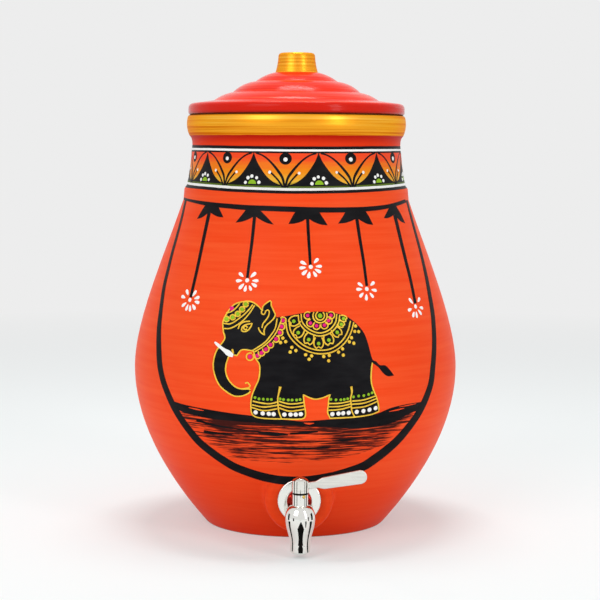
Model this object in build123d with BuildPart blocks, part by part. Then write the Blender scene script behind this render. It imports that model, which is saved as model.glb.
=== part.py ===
"""Terracotta water jar with a lift-off lid and a quarter-turn steel tap.

The jar stands on its flat base with the origin at the centre of that base, +Z up, in millimetres.
The tap is on the front, towards -Y, and its lever points towards +X when the tap is closed.
"""

import os
from math import cos, radians, sin

from build123d import *

os.makedirs("parts", exist_ok=True)

# Jar body, a thrown clay shell
base_radius = 76.8
belly_radius = 138.0
belly_height = 133.5
shoulder_radius = 96.3
shoulder_rise = 142.5
band_radius = 95.5
band_rise = 8.5
band_step = 2.5
band_step_rise = 4.6
neck_radius = 88.6
neck_rise = 32.9
cove_rise = 8.5
wall = 9.0
floor_thickness = 12.0
base_round = 3.0
floor_round = 14.0
rim_round = 2.5
mouth_round = 3.0
base_flare = 41.0
shoulder_lean = 19.0
neck_foot_lean = 13.0
neck_lean = 3.5

# How far each end of a wall stretch steers its curve, as a share of the stretch's height
foot_pull_share = 0.3
belly_lower_pull_share = 0.4
belly_upper_pull_share = 0.27
shoulder_pull_share = 0.35
step_pull_share = 0.5
neck_pull_share = 0.32
cove_pull_share = 0.7

# Collar round the mouth
collar_radius = 93.3
collar_height = 17.1
collar_foot_inset = 2.1
collar_lip_inset = 1.2
collar_widest_share = 0.55

# Clay seat for the tap, a thick upright pad in the sloping wall
seat_stand = 1.2
seat_thickness = 20.0
seat_radius = 21.5
seat_edge_round = 6.0
seat_blend = 5.0
inner_pad_radius = 20.0
inner_seat_radius = 16.5
hole_clearance = 0.6

# Lid, clay, with three thrown steps and a knob
lid_edge_inset = 1.3
lid_rim_thickness = 9.4
lid_rim_low_round = 2.4
lid_rim_top_round = 4.2
lid_dome_height = 36.5
lid_step_radius_shares = (0.766, 0.591, 0.382, 0.196)
lid_step_height_shares = (0.337, 0.529, 0.784, 1.0)
lid_bulge_shares = (0.065, 0.09, 0.06)
knob_top_radius = 15.5
knob_height = 16.4
knob_waist = 0.6
knob_round = 2.8
lid_ring_gap = 2.2
lid_ring_thickness = 7.0
lid_ring_depth = 11.0
lid_ring_round = 2.0
lid_hollow_height = 28.0
lid_hollow_top_radius = 16.0

# Tap body, an upright barrel with heights measured from the inlet axis
spout_clearance = 3.5
spout_drop = 36.5
spout_radius = 8.0
spout_edge = 1.7
spout_straight = 6.0
spout_bore_radius = 5.4
bulb_radius = 11.9
bulb_drop = 8.8
bulb_pull_shares = (0.32, 0.38, 0.5, 0.55)
bonnet_radius = 6.1
bonnet_foot_rise = 1.8
bonnet_rise = 11.2
valve_bore_radius = 4.2
valve_seat_drop = 12.0
valve_seat_thickness = 2.7

# Tap inlet, a neck, a shoulder and a threaded shank
tap_reach = 24.0
inlet_neck_radius = 6.5
inlet_shoulder_radius = 10.0
inlet_shoulder_thickness = 2.5
inlet_shoulder_round = 0.8
shank_radius = 8.0
shank_bore_radius = 3.6
thread_pitch = 1.5
thread_depth = 0.8
thread_tail = 3.5

# Washers, gaskets and nut on the shank
flange_radius = 17.3
flange_thickness = 2.0
flange_edge_round = 0.8
outer_gasket_radius = 15.8
outer_gasket_thickness = 1.6
inner_gasket_radius = 14.5
inner_gasket_thickness = 2.0
inner_washer_radius = 14.0
inner_washer_thickness = 1.5
nut_across_flats = 24.0
nut_height = 7.0
nut_edge = 1.4
ring_clearance = 0.1

# Spindle, with its seals and stop
spindle_clearance = 0.06
spindle_foot_gap = 0.3
spindle_port_radius = 2.6
spindle_outlet_radius = 2.9
seal_section = 1.1
seal_gap = 0.05
upper_seal_rise = 5.4
lower_seal_drop = 7.0
drive_square = 5.4
drive_height = 5.4
drive_clearance = 0.1
stop_pin_radius = 1.3
stop_pin_drop = 1.9
stop_pin_bearing = -65.0
stop_pin_proud = 0.35
stop_groove_radius = 2.75
stop_clearance = 0.14
lever_turn = 90.0

# Lever handle with its screw and button
cap_radius = 6.3
cap_gap = 0.3
cap_height = 10.8
cap_edge = 0.9
cap_web = 1.7
screw_radius = 1.5
screw_head_radius = 2.8
screw_head_height = 1.9
screw_length = 6.2
screw_slot_width = 0.7
screw_slot_depth = 0.9
screw_clearance = 0.1
screw_well_radius = 3.3
button_radius = 4.7
button_thickness = 1.4
button_dome = 2.0
lever_length = 52.0
lever_tilt = 9.5
lever_neck_height = 5.2
lever_neck_length = 13.0
lever_step = 5.0
lever_blade_height = 9.0
lever_tip_height = 10.8
lever_tip_bulge = 5.2
lever_root_rise = 4.6
lever_thickness = 2.6
lever_edge_round = 0.5
lever_shoulder_round = 2.5

# Hair's gap round pressed and screwed-in pieces, and overrun of cutting tools past a face
press_clearance = 0.05
overrun = 1.0


# Heights up the jar
shoulder_height = belly_height + shoulder_rise
neck_height = shoulder_height + band_rise + band_step_rise + neck_rise
collar_bottom = neck_height + cove_rise
rim_height = collar_bottom + collar_height


def wall_stretches(inset):
    """Control points of the jar's wall from foot to neck, moved in towards the axis by inset."""
    foot = Vector(base_radius - inset, 0)
    belly = Vector(belly_radius - inset, belly_height)
    shoulder = Vector(shoulder_radius - inset, shoulder_height)
    band = Vector(band_radius - inset, shoulder_height + band_rise)
    neck_foot = Vector(band_radius - band_step - inset, band.Y + band_step_rise)
    neck = Vector(neck_radius - inset, neck_foot.Y + neck_rise)
    foot_way = Vector(sin(radians(base_flare)), cos(radians(base_flare)))
    shoulder_way = Vector(-sin(radians(shoulder_lean)), cos(radians(shoulder_lean)))
    neck_foot_way = Vector(-sin(radians(neck_foot_lean)), cos(radians(neck_foot_lean)))
    neck_way = Vector(-sin(radians(neck_lean)), cos(radians(neck_lean)))
    up = Vector(0, 1)
    lower = (
        foot,
        foot + foot_way * (foot_pull_share * belly_height),
        belly - up * (belly_lower_pull_share * belly_height),
        belly,
    )
    upper = (
        belly,
        belly + up * (belly_upper_pull_share * shoulder_rise),
        shoulder - shoulder_way * (shoulder_pull_share * shoulder_rise),
        shoulder,
    )
    step = (
        band,
        band + up * (step_pull_share * band_step_rise),
        neck_foot - neck_foot_way * (step_pull_share * band_step_rise),
        neck_foot,
    )
    top = (
        neck_foot,
        neck_foot + neck_foot_way * (neck_pull_share * neck_rise),
        neck - neck_way * (neck_pull_share * neck_rise),
        neck,
    )
    return lower, upper, step, top


def wall_radius_at(height):
    """Outer radius of the wall below the belly at a height, found by halving along its curve."""
    points = wall_stretches(0)[0]
    low, high = 0.0, 1.0
    for _ in range(40):
        t = (low + high) / 2
        weights = ((1 - t) ** 3, 3 * t * (1 - t) ** 2, 3 * t**2 * (1 - t), t**3)
        place = sum((p * w for p, w in zip(points, weights)), Vector(0, 0))
        if place.Y < height:
            low = t
        else:
            high = t
    return place.X


# Places along the inlet, as distances in front of the jar's axis
tap_height = spout_clearance + spout_drop
seat_rim = seat_radius + seat_edge_round
seat_face = wall_radius_at(tap_height + flange_radius) + seat_stand
seat_root = wall_radius_at(tap_height - seat_rim) - wall
inner_face = seat_face - seat_thickness
flange_back = seat_face + outer_gasket_thickness
flange_front = flange_back + flange_thickness
tap_axis = flange_front + tap_reach
inner_gasket_end = inner_face - inner_gasket_thickness
inner_washer_end = inner_gasket_end - inner_washer_thickness
nut_end = inner_washer_end - nut_height
shank_end = nut_end - thread_tail

# Heights up the tap
bonnet_top = tap_height + bonnet_rise
cap_foot = bonnet_top + cap_gap
socket_top = cap_foot + drive_height + drive_clearance
web_top = socket_top + cap_web
cap_top = cap_foot + cap_height
stop_height = bonnet_top - stop_pin_drop
spindle_radius = valve_bore_radius - spindle_clearance

inlet_axis = Axis((0, 0, tap_height), (0, 1, 0))
barrel_axis = Axis((0, -tap_axis, 0), (0, 0, 1))
barrel_plane = Plane(origin=(0, -tap_axis, 0), x_dir=(1, 0, 0), z_dir=(0, -1, 0))
inlet_plane = Plane(origin=(0, 0, tap_height), x_dir=(0, -1, 0), z_dir=(1, 0, 0))


def inward(distance):
    """Plane square to the inlet axis, facing the jar's axis, at a distance in front of that axis."""
    return Plane(origin=(0, -distance, tap_height), x_dir=(1, 0, 0), z_dir=(0, 1, 0))


def up_at(height):
    """Level plane on the tap's upright axis at a height."""
    return Plane(origin=(0, -tap_axis, height))


def outward(bearing, reach):
    """Plane at the stop's height, facing outwards at a bearing, at a reach from the tap's axis."""
    way = Vector(cos(radians(bearing)), sin(radians(bearing)), 0)
    centre = Vector(0, -tap_axis, stop_height) + way * reach
    return Plane(origin=centre, x_dir=(-way.Y, way.X, 0), z_dir=way)


def export(piece, name):
    """Labels a finished piece and writes its STEP file."""
    piece.part.label = name
    export_step(piece.part, f"parts/{name}.step")


def round_corner(section, place, radius):
    """Rounds the corner of a section that is nearest to a place in it."""
    fillet(section.vertices().sort_by_distance(place)[0], radius)


def washer(back, thickness, radius, hole):
    """A flat ring on the inlet axis, from the distance of its back towards the tap."""
    with BuildPart() as ring:
        with BuildSketch(inward(back + thickness)):
            Circle(radius)
            Circle(hole, mode=Mode.SUBTRACT)
        extrude(amount=thickness)
    return ring


def thread_sketch(start, end, crest):
    """Half section of a ring thread between two distances along the inlet, out to its crest."""
    turns = int((start - end) / thread_pitch)
    root = crest - thread_depth
    points = [(start, 0), (start, root)]
    for turn in range(turns):
        near = start - turn * thread_pitch
        points.append((near - thread_pitch / 2, crest))
        points.append((near - thread_pitch, root))
    points.append((end, root))
    points.append((end, 0))
    with BuildSketch() as section:
        with BuildLine():
            Polyline(*points, close=True)
        make_face()
    return section.sketch


# Jar body
mouth_radius = neck_radius - wall
cove_end = Vector(collar_radius - collar_foot_inset, collar_bottom)
collar_lip = Vector(collar_radius - collar_lip_inset, rim_height)

with BuildPart() as jar_body:
    with BuildSketch(Plane.XZ):
        with BuildLine():
            lower, upper, step, top = wall_stretches(0)
            Line((0, 0), lower[0])
            Bezier(*lower)
            Bezier(*upper)
            Line(upper[-1], step[0])
            Bezier(*step)
            Bezier(*top)
            Bezier(
                top[-1],
                top[-1] + Vector(0, cove_rise * cove_pull_share),
                cove_end - Vector(collar_foot_inset, collar_foot_inset) * cove_pull_share,
                cove_end,
            )
            ThreePointArc(
                cove_end,
                (collar_radius, collar_bottom + collar_height * collar_widest_share),
                collar_lip,
            )
            Line(collar_lip, (0, rim_height))
            Line((0, rim_height), (0, 0))
        make_face()
    revolve(axis=Axis.Z)
    fillet(jar_body.edges().group_by(Axis.Z)[0], base_round)
    fillet(jar_body.edges().group_by(Axis.Z)[-1], rim_round)
    with BuildSketch(inlet_plane):
        with BuildLine():
            Line((seat_root, 0), (seat_face, 0))
            Line((seat_face, 0), (seat_face, seat_radius))
            RadiusArc(
                (seat_face, seat_radius), (seat_face - seat_edge_round, seat_rim), -seat_edge_round
            )
            Line((seat_face - seat_edge_round, seat_rim), (seat_root, seat_rim))
            Line((seat_root, seat_rim), (seat_root, 0))
        make_face()
    revolve(axis=inlet_axis)
    fillet(jar_body.edges(Select.NEW), seat_blend)
    with BuildSketch(Plane.XZ) as cavity:
        with BuildLine():
            lower, upper, step, top = wall_stretches(wall)
            Line((0, 0), lower[0])
            Bezier(*lower)
            Bezier(*upper)
            Line(upper[-1], top[0])
            Bezier(*top)
            Line(top[-1], (mouth_radius, rim_height + overrun))
            Line((mouth_radius, rim_height + overrun), (0, rim_height + overrun))
            Line((0, rim_height + overrun), (0, 0))
        make_face()
        with Locations((0, floor_thickness / 2)):
            Rectangle(2 * belly_radius, floor_thickness, mode=Mode.SUBTRACT)
        fillet(cavity.vertices().group_by(Axis.Y)[0].sort_by(Axis.X)[-1], floor_round)
    revolve(axis=Axis.Z, mode=Mode.SUBTRACT)
    rim_edges = jar_body.edges().filter_by(GeomType.CIRCLE).group_by(Axis.Z)[-1]
    fillet(rim_edges.sort_by(SortBy.RADIUS)[0], mouth_round)
    with BuildSketch(inward(inner_face)):
        Circle(inner_pad_radius)
    extrude(amount=seat_edge_round - seat_thickness)
    with BuildSketch(inward(inner_face)):
        Circle(inner_seat_radius)
    extrude(amount=seat_thickness, mode=Mode.SUBTRACT)
    with BuildSketch(inward(seat_face)):
        Circle(shank_radius + hole_clearance)
    extrude(amount=seat_face - seat_root, mode=Mode.SUBTRACT)
export(jar_body, "jar_body")

# Lid
lid_ring_radius = mouth_radius - lid_ring_gap
lid_ring_inner = lid_ring_radius - lid_ring_thickness
lid_radius = collar_radius - lid_edge_inset
lid_steps = [
    Vector(lid_radius * across, rim_height + lid_dome_height * up)
    for across, up in zip(lid_step_radius_shares, lid_step_height_shares)
]
knob_top = lid_steps[-1].Y + knob_height

with BuildPart() as lid:
    with BuildSketch(Plane.XZ) as lid_section:
        with BuildLine():
            Line((0, rim_height), (lid_radius, rim_height))
            Line((lid_radius, rim_height), (lid_radius, rim_height + lid_rim_thickness))
            Line((lid_radius, rim_height + lid_rim_thickness), lid_steps[0])
            for start, end, bulge_share in zip(lid_steps, lid_steps[1:], lid_bulge_shares):
                across = end - start
                bulge = Vector(across.Y, -across.X) * bulge_share
                ThreePointArc(start, (start + end) / 2 + bulge, end)
            knob_foot = lid_steps[-1]
            knob_lip = Vector(knob_top_radius, knob_top)
            knob_side = (knob_foot + knob_lip) / 2 - Vector(knob_waist, 0)
            ThreePointArc(knob_foot, knob_side, knob_lip)
            Line(knob_lip, (0, knob_top))
            Line((0, knob_top), (0, rim_height))
        make_face()
        round_corner(lid_section, knob_lip, knob_round)
        round_corner(lid_section, (lid_radius, rim_height + lid_rim_thickness), lid_rim_top_round)
        round_corner(lid_section, (lid_radius, rim_height), lid_rim_low_round)
    revolve(axis=Axis.Z)
    with BuildSketch(Plane.XY.offset(rim_height)):
        Circle(lid_ring_radius)
    extrude(amount=-lid_ring_depth)
    with BuildSketch(Plane.XZ):
        with BuildLine():
            ring_foot = rim_height - lid_ring_depth - overrun
            hollow_top = rim_height + lid_hollow_height
            Polyline(
                (0, ring_foot),
                (lid_ring_inner, ring_foot),
                (lid_ring_inner, rim_height),
                (lid_hollow_top_radius, hollow_top),
                (0, hollow_top),
                close=True,
            )
        make_face()
    revolve(axis=Axis.Z, mode=Mode.SUBTRACT)
    fillet(lid.edges().filter_by(GeomType.CIRCLE).group_by(Axis.Z)[0], lid_ring_round)
export(lid, "lid")

# Tap body
spout_foot = tap_height - spout_drop
spout_bore_depth = spout_drop - valve_seat_drop - valve_seat_thickness
spout_neck = spout_foot + spout_edge + spout_straight
bulb_height = tap_height - bulb_drop
bonnet_foot = tap_height + bonnet_foot_rise

with BuildPart() as tap_body:
    with BuildSketch(barrel_plane):
        with BuildLine():
            lower_rise = bulb_height - spout_neck
            upper_rise = bonnet_foot - bulb_height
            waist = Vector(spout_radius, spout_neck)
            bulb = Vector(bulb_radius, bulb_height)
            bonnet = Vector(bonnet_radius, bonnet_foot)
            pulls = bulb_pull_shares
            Polyline(
                (0, spout_foot),
                (spout_radius - spout_edge, spout_foot),
                (spout_radius, spout_foot + spout_edge),
                waist,
            )
            Bezier(
                waist,
                waist + Vector(0, lower_rise * pulls[0]),
                bulb - Vector(0, lower_rise * pulls[1]),
                bulb,
            )
            Bezier(
                bulb,
                bulb + Vector(0, upper_rise * pulls[2]),
                bonnet + Vector((bulb_radius - bonnet_radius) * pulls[3], 0),
                bonnet,
            )
            Polyline(bonnet, (bonnet_radius, bonnet_top), (0, bonnet_top), (0, spout_foot))
        make_face()
    revolve(axis=barrel_axis)
    with BuildSketch(inward(tap_axis)):
        Circle(inlet_neck_radius)
    extrude(amount=tap_reach)
    with BuildSketch(inward(flange_front + inlet_shoulder_thickness)):
        Circle(inlet_shoulder_radius)
    extrude(amount=inlet_shoulder_thickness)
    shoulder_edges = tap_body.edges().filter_by(GeomType.CIRCLE)
    fillet(shoulder_edges.group_by(SortBy.RADIUS)[-1].sort_by(Axis.Y)[0], inlet_shoulder_round)
    with BuildSketch(inlet_plane):
        add(thread_sketch(flange_front, shank_end, shank_radius))
    revolve(axis=inlet_axis)
    with BuildSketch(up_at(tap_height - valve_seat_drop)):
        Circle(valve_bore_radius)
    extrude(amount=valve_seat_drop + bonnet_rise + overrun, mode=Mode.SUBTRACT)
    with BuildSketch(up_at(spout_foot - overrun)):
        Circle(spout_bore_radius)
    extrude(amount=overrun + spout_bore_depth, mode=Mode.SUBTRACT)
    with BuildSketch(up_at(spout_foot)):
        Circle(spindle_outlet_radius)
    extrude(amount=spout_drop, mode=Mode.SUBTRACT)
    with BuildSketch(inward(tap_axis)):
        Circle(shank_bore_radius)
    extrude(amount=tap_axis - shank_end + overrun, mode=Mode.SUBTRACT)
    with BuildSketch(outward(stop_pin_bearing, stop_groove_radius)):
        Circle(stop_pin_radius + press_clearance)
    extrude(amount=bonnet_radius, mode=Mode.SUBTRACT)
export(tap_body, "tap_body")

# Pieces on the shank, from the tap inwards
with BuildPart() as tap_flange:
    add(washer(flange_back, flange_thickness, flange_radius, shank_radius + ring_clearance).part)
    fillet(tap_flange.edges().group_by(Axis.Y)[0].sort_by(SortBy.RADIUS)[-1], flange_edge_round)
export(tap_flange, "tap_flange")

hole = shank_radius + ring_clearance
export(washer(seat_face, outer_gasket_thickness, outer_gasket_radius, hole), "outer_gasket")
export(washer(inner_gasket_end, inner_gasket_thickness, inner_gasket_radius, hole), "inner_gasket")
export(washer(inner_washer_end, inner_washer_thickness, inner_washer_radius, hole), "inner_washer")

with BuildPart() as lock_nut:
    with BuildSketch(inward(inner_washer_end)):
        RegularPolygon(nut_across_flats / 2, 6, major_radius=False)
    extrude(amount=nut_height)
    with BuildSketch(inlet_plane):
        with BuildLine():
            corner_radius = nut_across_flats / 2 / cos(radians(30))
            Polyline(
                (nut_end, 0),
                (nut_end, corner_radius - nut_edge),
                (nut_end + nut_edge / 2, corner_radius),
                (inner_washer_end - nut_edge / 2, corner_radius),
                (inner_washer_end, corner_radius - nut_edge),
                (inner_washer_end, 0),
                close=True,
            )
        make_face()
    revolve(axis=inlet_axis, mode=Mode.INTERSECT)
    with BuildSketch(inlet_plane):
        add(thread_sketch(flange_front, shank_end, shank_radius + ring_clearance))
    revolve(axis=inlet_axis, mode=Mode.SUBTRACT)
export(lock_nut, "lock_nut")

# Spindle
spindle_foot = tap_height - valve_seat_drop + spindle_foot_gap
groove_radius = valve_bore_radius - seal_gap - seal_section - seal_gap
slot_half = stop_pin_radius + stop_clearance
seal_heights = (tap_height + upper_seal_rise, tap_height - lower_seal_drop)

with BuildPart() as spindle:
    with BuildSketch(up_at(spindle_foot)):
        Circle(spindle_radius)
    extrude(amount=bonnet_top - spindle_foot)
    with BuildSketch(up_at(bonnet_top)):
        Rectangle(drive_square, drive_square)
    extrude(amount=socket_top - drive_clearance - bonnet_top)
    for height in seal_heights:
        with BuildSketch(up_at(height - seal_section / 2 - seal_gap)):
            Circle(valve_bore_radius)
            Circle(groove_radius, mode=Mode.SUBTRACT)
        extrude(amount=seal_section + 2 * seal_gap, mode=Mode.SUBTRACT)
    with BuildSketch(up_at(spindle_foot)):
        Circle(spindle_outlet_radius)
    extrude(amount=tap_height - spindle_foot, mode=Mode.SUBTRACT)
    with BuildSketch(Plane(origin=(0, -tap_axis, tap_height), x_dir=(0, 1, 0), z_dir=(-1, 0, 0))):
        Circle(spindle_port_radius)
    extrude(amount=valve_bore_radius, mode=Mode.SUBTRACT)
    with BuildSketch(up_at(stop_height - slot_half)):
        with BuildLine():
            bearings = [stop_pin_bearing + lever_turn * share for share in (0, 1 / 2, 1)]
            ways = [Vector(1, 0).rotate(Axis.Z, bearing) for bearing in bearings]
            Line(ways[0] * stop_groove_radius, ways[0] * bonnet_radius)
            ThreePointArc(*[way * bonnet_radius for way in ways])
            Line(ways[2] * bonnet_radius, ways[2] * stop_groove_radius)
            ThreePointArc(*[way * stop_groove_radius for way in reversed(ways)])
        make_face()
        with PolarLocations(stop_groove_radius, 2, stop_pin_bearing, lever_turn, endpoint=True):
            slot_reach = bonnet_radius - stop_groove_radius
            Rectangle(slot_reach, 2 * slot_half, align=(Align.MIN, Align.CENTER))
    extrude(amount=2 * slot_half, mode=Mode.SUBTRACT)
    with BuildSketch(up_at(web_top - screw_length - screw_clearance)):
        Circle(screw_radius + press_clearance)
    extrude(amount=screw_length, mode=Mode.SUBTRACT)
export(spindle, "spindle")

for name, height in zip(("upper_o_ring", "lower_o_ring"), seal_heights):
    with BuildPart() as o_ring:
        with BuildSketch(barrel_plane):
            with Locations((valve_bore_radius - seal_gap - seal_section / 2, height)):
                Circle(seal_section / 2)
        revolve(axis=barrel_axis)
    export(o_ring, name)

with BuildPart() as stop_pin:
    pin_tip = stop_groove_radius + stop_clearance
    with BuildSketch(outward(stop_pin_bearing, pin_tip)):
        Circle(stop_pin_radius)
    extrude(amount=bonnet_radius + stop_pin_proud - pin_tip)
    fillet(stop_pin.edges().sort_by(Axis.Y)[0], stop_pin_proud)
export(stop_pin, "stop_pin")

# Lever handle
lever_root = (0, -tap_axis, cap_foot + lever_root_rise)
lever_way = (cos(radians(lever_tilt)), 0, sin(radians(lever_tilt)))
blade_start = lever_neck_length + lever_step
blade_end = lever_length / lever_way[0] - lever_tip_bulge

with BuildPart() as lever_handle:
    with BuildSketch(Plane(origin=lever_root, x_dir=lever_way, z_dir=(0, -1, 0))) as blade:
        with BuildLine():
            Polyline(
                (blade_end, -lever_tip_height / 2),
                (blade_start, -lever_blade_height / 2),
                (lever_neck_length, -lever_neck_height / 2),
                (0, -lever_neck_height / 2),
                (0, lever_neck_height / 2),
                (lever_neck_length, lever_neck_height / 2),
                (blade_start, lever_blade_height / 2),
                (blade_end, lever_tip_height / 2),
            )
            ThreePointArc(
                (blade_end, lever_tip_height / 2),
                (blade_end + lever_tip_bulge, 0),
                (blade_end, -lever_tip_height / 2),
            )
        make_face()
        corners = blade.vertices().filter_by_position(Axis.X, lever_neck_length, blade_start)
        fillet(corners, lever_shoulder_round)
    extrude(amount=lever_thickness / 2, both=True)
    blade_sides = lever_handle.edges().filter_by(lambda e: abs(e.center().Y + tap_axis) > overrun)
    fillet(blade_sides.filter_by(lambda e: e.center().X > overrun), lever_edge_round)
    with BuildSketch(up_at(cap_foot)):
        Circle(cap_radius)
    extrude(amount=cap_height)
    chamfer(lever_handle.faces().filter_by(Axis.Z).sort_by(Axis.Z)[-1].edges(), cap_edge)
    with BuildSketch(up_at(cap_foot)):
        Rectangle(drive_square + 2 * drive_clearance, drive_square + 2 * drive_clearance)
    extrude(amount=socket_top - cap_foot, mode=Mode.SUBTRACT)
    with BuildSketch(up_at(cap_foot)):
        Circle(screw_radius + screw_clearance)
    extrude(amount=cap_height, mode=Mode.SUBTRACT)
    with BuildSketch(up_at(web_top)):
        Circle(screw_well_radius)
    extrude(amount=cap_height, mode=Mode.SUBTRACT)
    with BuildSketch(up_at(cap_top - button_thickness)):
        Circle(button_radius + press_clearance)
    extrude(amount=button_thickness, mode=Mode.SUBTRACT)
export(lever_handle, "lever_handle")

with BuildPart() as handle_screw:
    with BuildSketch(up_at(web_top - screw_length)):
        Circle(screw_radius)
    extrude(amount=screw_length)
    with BuildSketch(up_at(web_top)):
        Circle(screw_head_radius)
    extrude(amount=screw_head_height)
    fillet(handle_screw.edges().group_by(Axis.Z)[-1], screw_head_height / 3)
    with BuildSketch(up_at(web_top + screw_head_height - screw_slot_depth)):
        Rectangle(2 * screw_head_radius, screw_slot_width)
        Rectangle(screw_slot_width, 2 * screw_head_radius)
    extrude(amount=screw_slot_depth, mode=Mode.SUBTRACT)
export(handle_screw, "handle_screw")

with BuildPart() as cap_button:
    with BuildSketch(barrel_plane):
        with BuildLine():
            button_foot = cap_top - button_thickness
            dome_round = (button_radius**2 + button_dome**2) / (2 * button_dome)
            Polyline(
                (0, cap_top + button_dome),
                (0, button_foot),
                (button_radius, button_foot),
                (button_radius, cap_top),
            )
            RadiusArc((button_radius, cap_top), (0, cap_top + button_dome), -dome_round)
        make_face()
    revolve(axis=barrel_axis)
export(cap_button, "cap_button")
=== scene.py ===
"""Dresses the solid model of a painted clay water jar with a lid and a steel lever tap.

Each solid gets its finish, the hand-painted ornament is laid on the clay as thin raised paint,
and a plain pale studio is set up round the jar. Lengths are in metres unless a name ends in
mm or px. Places read on the photograph are in its pixels, and are thrown onto the clay from
where the camera stands.
"""

from bisect import bisect_right
from functools import cache
from math import atan2, ceil, cos, degrees, hypot, pi, radians, sin

import bpy
from mathutils import Euler, Matrix, Vector, noise
from mathutils.bvhtree import BVHTree
from mathutils.geometry import delaunay_2d_cdt
from bpy.props import FloatProperty, FloatVectorProperty, IntProperty, PointerProperty


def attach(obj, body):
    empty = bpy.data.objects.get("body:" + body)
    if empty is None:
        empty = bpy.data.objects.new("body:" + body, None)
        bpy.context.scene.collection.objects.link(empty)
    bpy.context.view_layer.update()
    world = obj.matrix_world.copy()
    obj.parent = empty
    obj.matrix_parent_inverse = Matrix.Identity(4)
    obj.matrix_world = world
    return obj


bl_info = {
    "name": "Painted Water Jar",
    "version": (1, 0, 0),
    "blender": (4, 5, 0),
    "location": "3D View > Sidebar > Water Jar",
    "description": "Finishes, painted ornament and studio for a clay water jar with a tap",
    "category": "Object",
}

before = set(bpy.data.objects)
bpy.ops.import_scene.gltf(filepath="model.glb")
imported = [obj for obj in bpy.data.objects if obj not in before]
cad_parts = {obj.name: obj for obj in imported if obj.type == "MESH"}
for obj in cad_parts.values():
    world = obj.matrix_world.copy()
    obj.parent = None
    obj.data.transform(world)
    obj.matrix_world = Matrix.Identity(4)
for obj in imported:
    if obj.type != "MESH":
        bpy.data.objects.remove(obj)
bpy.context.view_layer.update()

PHOTO_PX = 600
SENSOR_MM = 36.0


def srgb(red, green, blue):
    """The linear colour that shows as these 0 to 255 values."""
    def linear(value):
        value /= 255.0
        return value / 12.92 if value <= 0.04045 else ((value + 0.055) / 1.055) ** 2.4
    return (linear(red), linear(green), linear(blue))


def colour(name, description, shown):
    """A colour setting whose default shows as the 0 to 255 values given."""
    return FloatVectorProperty(name=name, description=description, subtype="COLOR", size=3,
                               min=0.0, max=1.0, default=srgb(*shown))


def length(name, description, default):
    """A length setting in metres."""
    return FloatProperty(name=name, description=description, default=default, min=0.0,
                         precision=5, unit="LENGTH", subtype="DISTANCE")


def share(name, description, default):
    """A setting between nought and one."""
    return FloatProperty(name=name, description=description, default=default, min=0.0, max=1.0,
                         subtype="FACTOR")


# ---------------------------------------------------------------------------------- settings

class JarClaySettings(bpy.types.PropertyGroup):
    """Colours and sheen of the painted and the bare clay."""
    paint: colour("Body Paint", "Orange-red paint on the body", (250, 75, 28))
    paint_light: colour("Body Paint Light", "Lighter brush streaks in the body paint",
                        (254, 90, 42))
    # Painted shade: the body paint darkened and deepened low down, where the body turns from the
    # light.
    paint_deep: colour("Body Paint Deep", "Deeper paint low on the body", (226, 50, 10))
    lid_paint: colour("Lid Paint", "Red paint on the lid", (238, 44, 20))
    lid_paint_deep: colour("Lid Paint Deep", "Deeper paint in the lid's throwing rings",
                           (222, 36, 14))
    lid_paint_light: colour("Lid Paint Light", "Lighter drag marks on the lid", (248, 84, 52))
    gilt: colour("Gilt", "Gold paint on the collar and the knob", (250, 172, 42))
    gilt_light: colour("Gilt Light", "Bright streaks in the gold paint", (253, 200, 82))
    gilt_deep: colour("Gilt Deep", "Thin streaks in the gold paint", (214, 112, 5))
    bare: colour("Bare Clay", "Fired clay inside and underneath", (190, 104, 66))
    sheen: share("Paint Roughness", "Roughness of the satin body paint", 0.42)
    gloss: share("Paint Specular", "Strength of the reflection on the body paint", 0.05)
    # Painted shade: the red above the neck bands, darkening into a painted shadow close under
    # the collar.
    strip: colour("Neck Strip Paint", "Deeper red above the neck bands", (230, 56, 18))
    collar_painted_shadow: colour("Neck Strip Shade", "Deepest red close under the collar", (190, 28, 3))
    # Painted shadow of the gap where the lid meets the collar, on the collar's top and the foot
    # of the lid's rim.
    gap_painted_shadow: colour("Joint", "Dark line where the lid meets the collar", (38, 8, 3))
    lid_sheen: share("Lid Roughness", "Roughness of the lid's paint", 0.18)
    lid_gloss: share("Lid Specular", "Strength of the reflection on the lid", 0.115)
    # Painted shade: the lid's rim painted deeper red, darkest near its foot.
    lid_rim_painted_shade: colour("Lid Rim Paint", "Deep red round the lid's rim", (216, 30, 12))
    gilt_sheen: share("Gilt Roughness", "Roughness of the gold paint", 0.34)
    gilt_metal: share("Gilt Metal", "How metallic the gold paint is", 0.6)
    collar_bottom: length("Collar Bottom", "Height of the lower edge of the gold", 0.3303)
    knob_bottom: length("Knob Bottom", "Height where the knob's gold begins", 0.3838)


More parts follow.
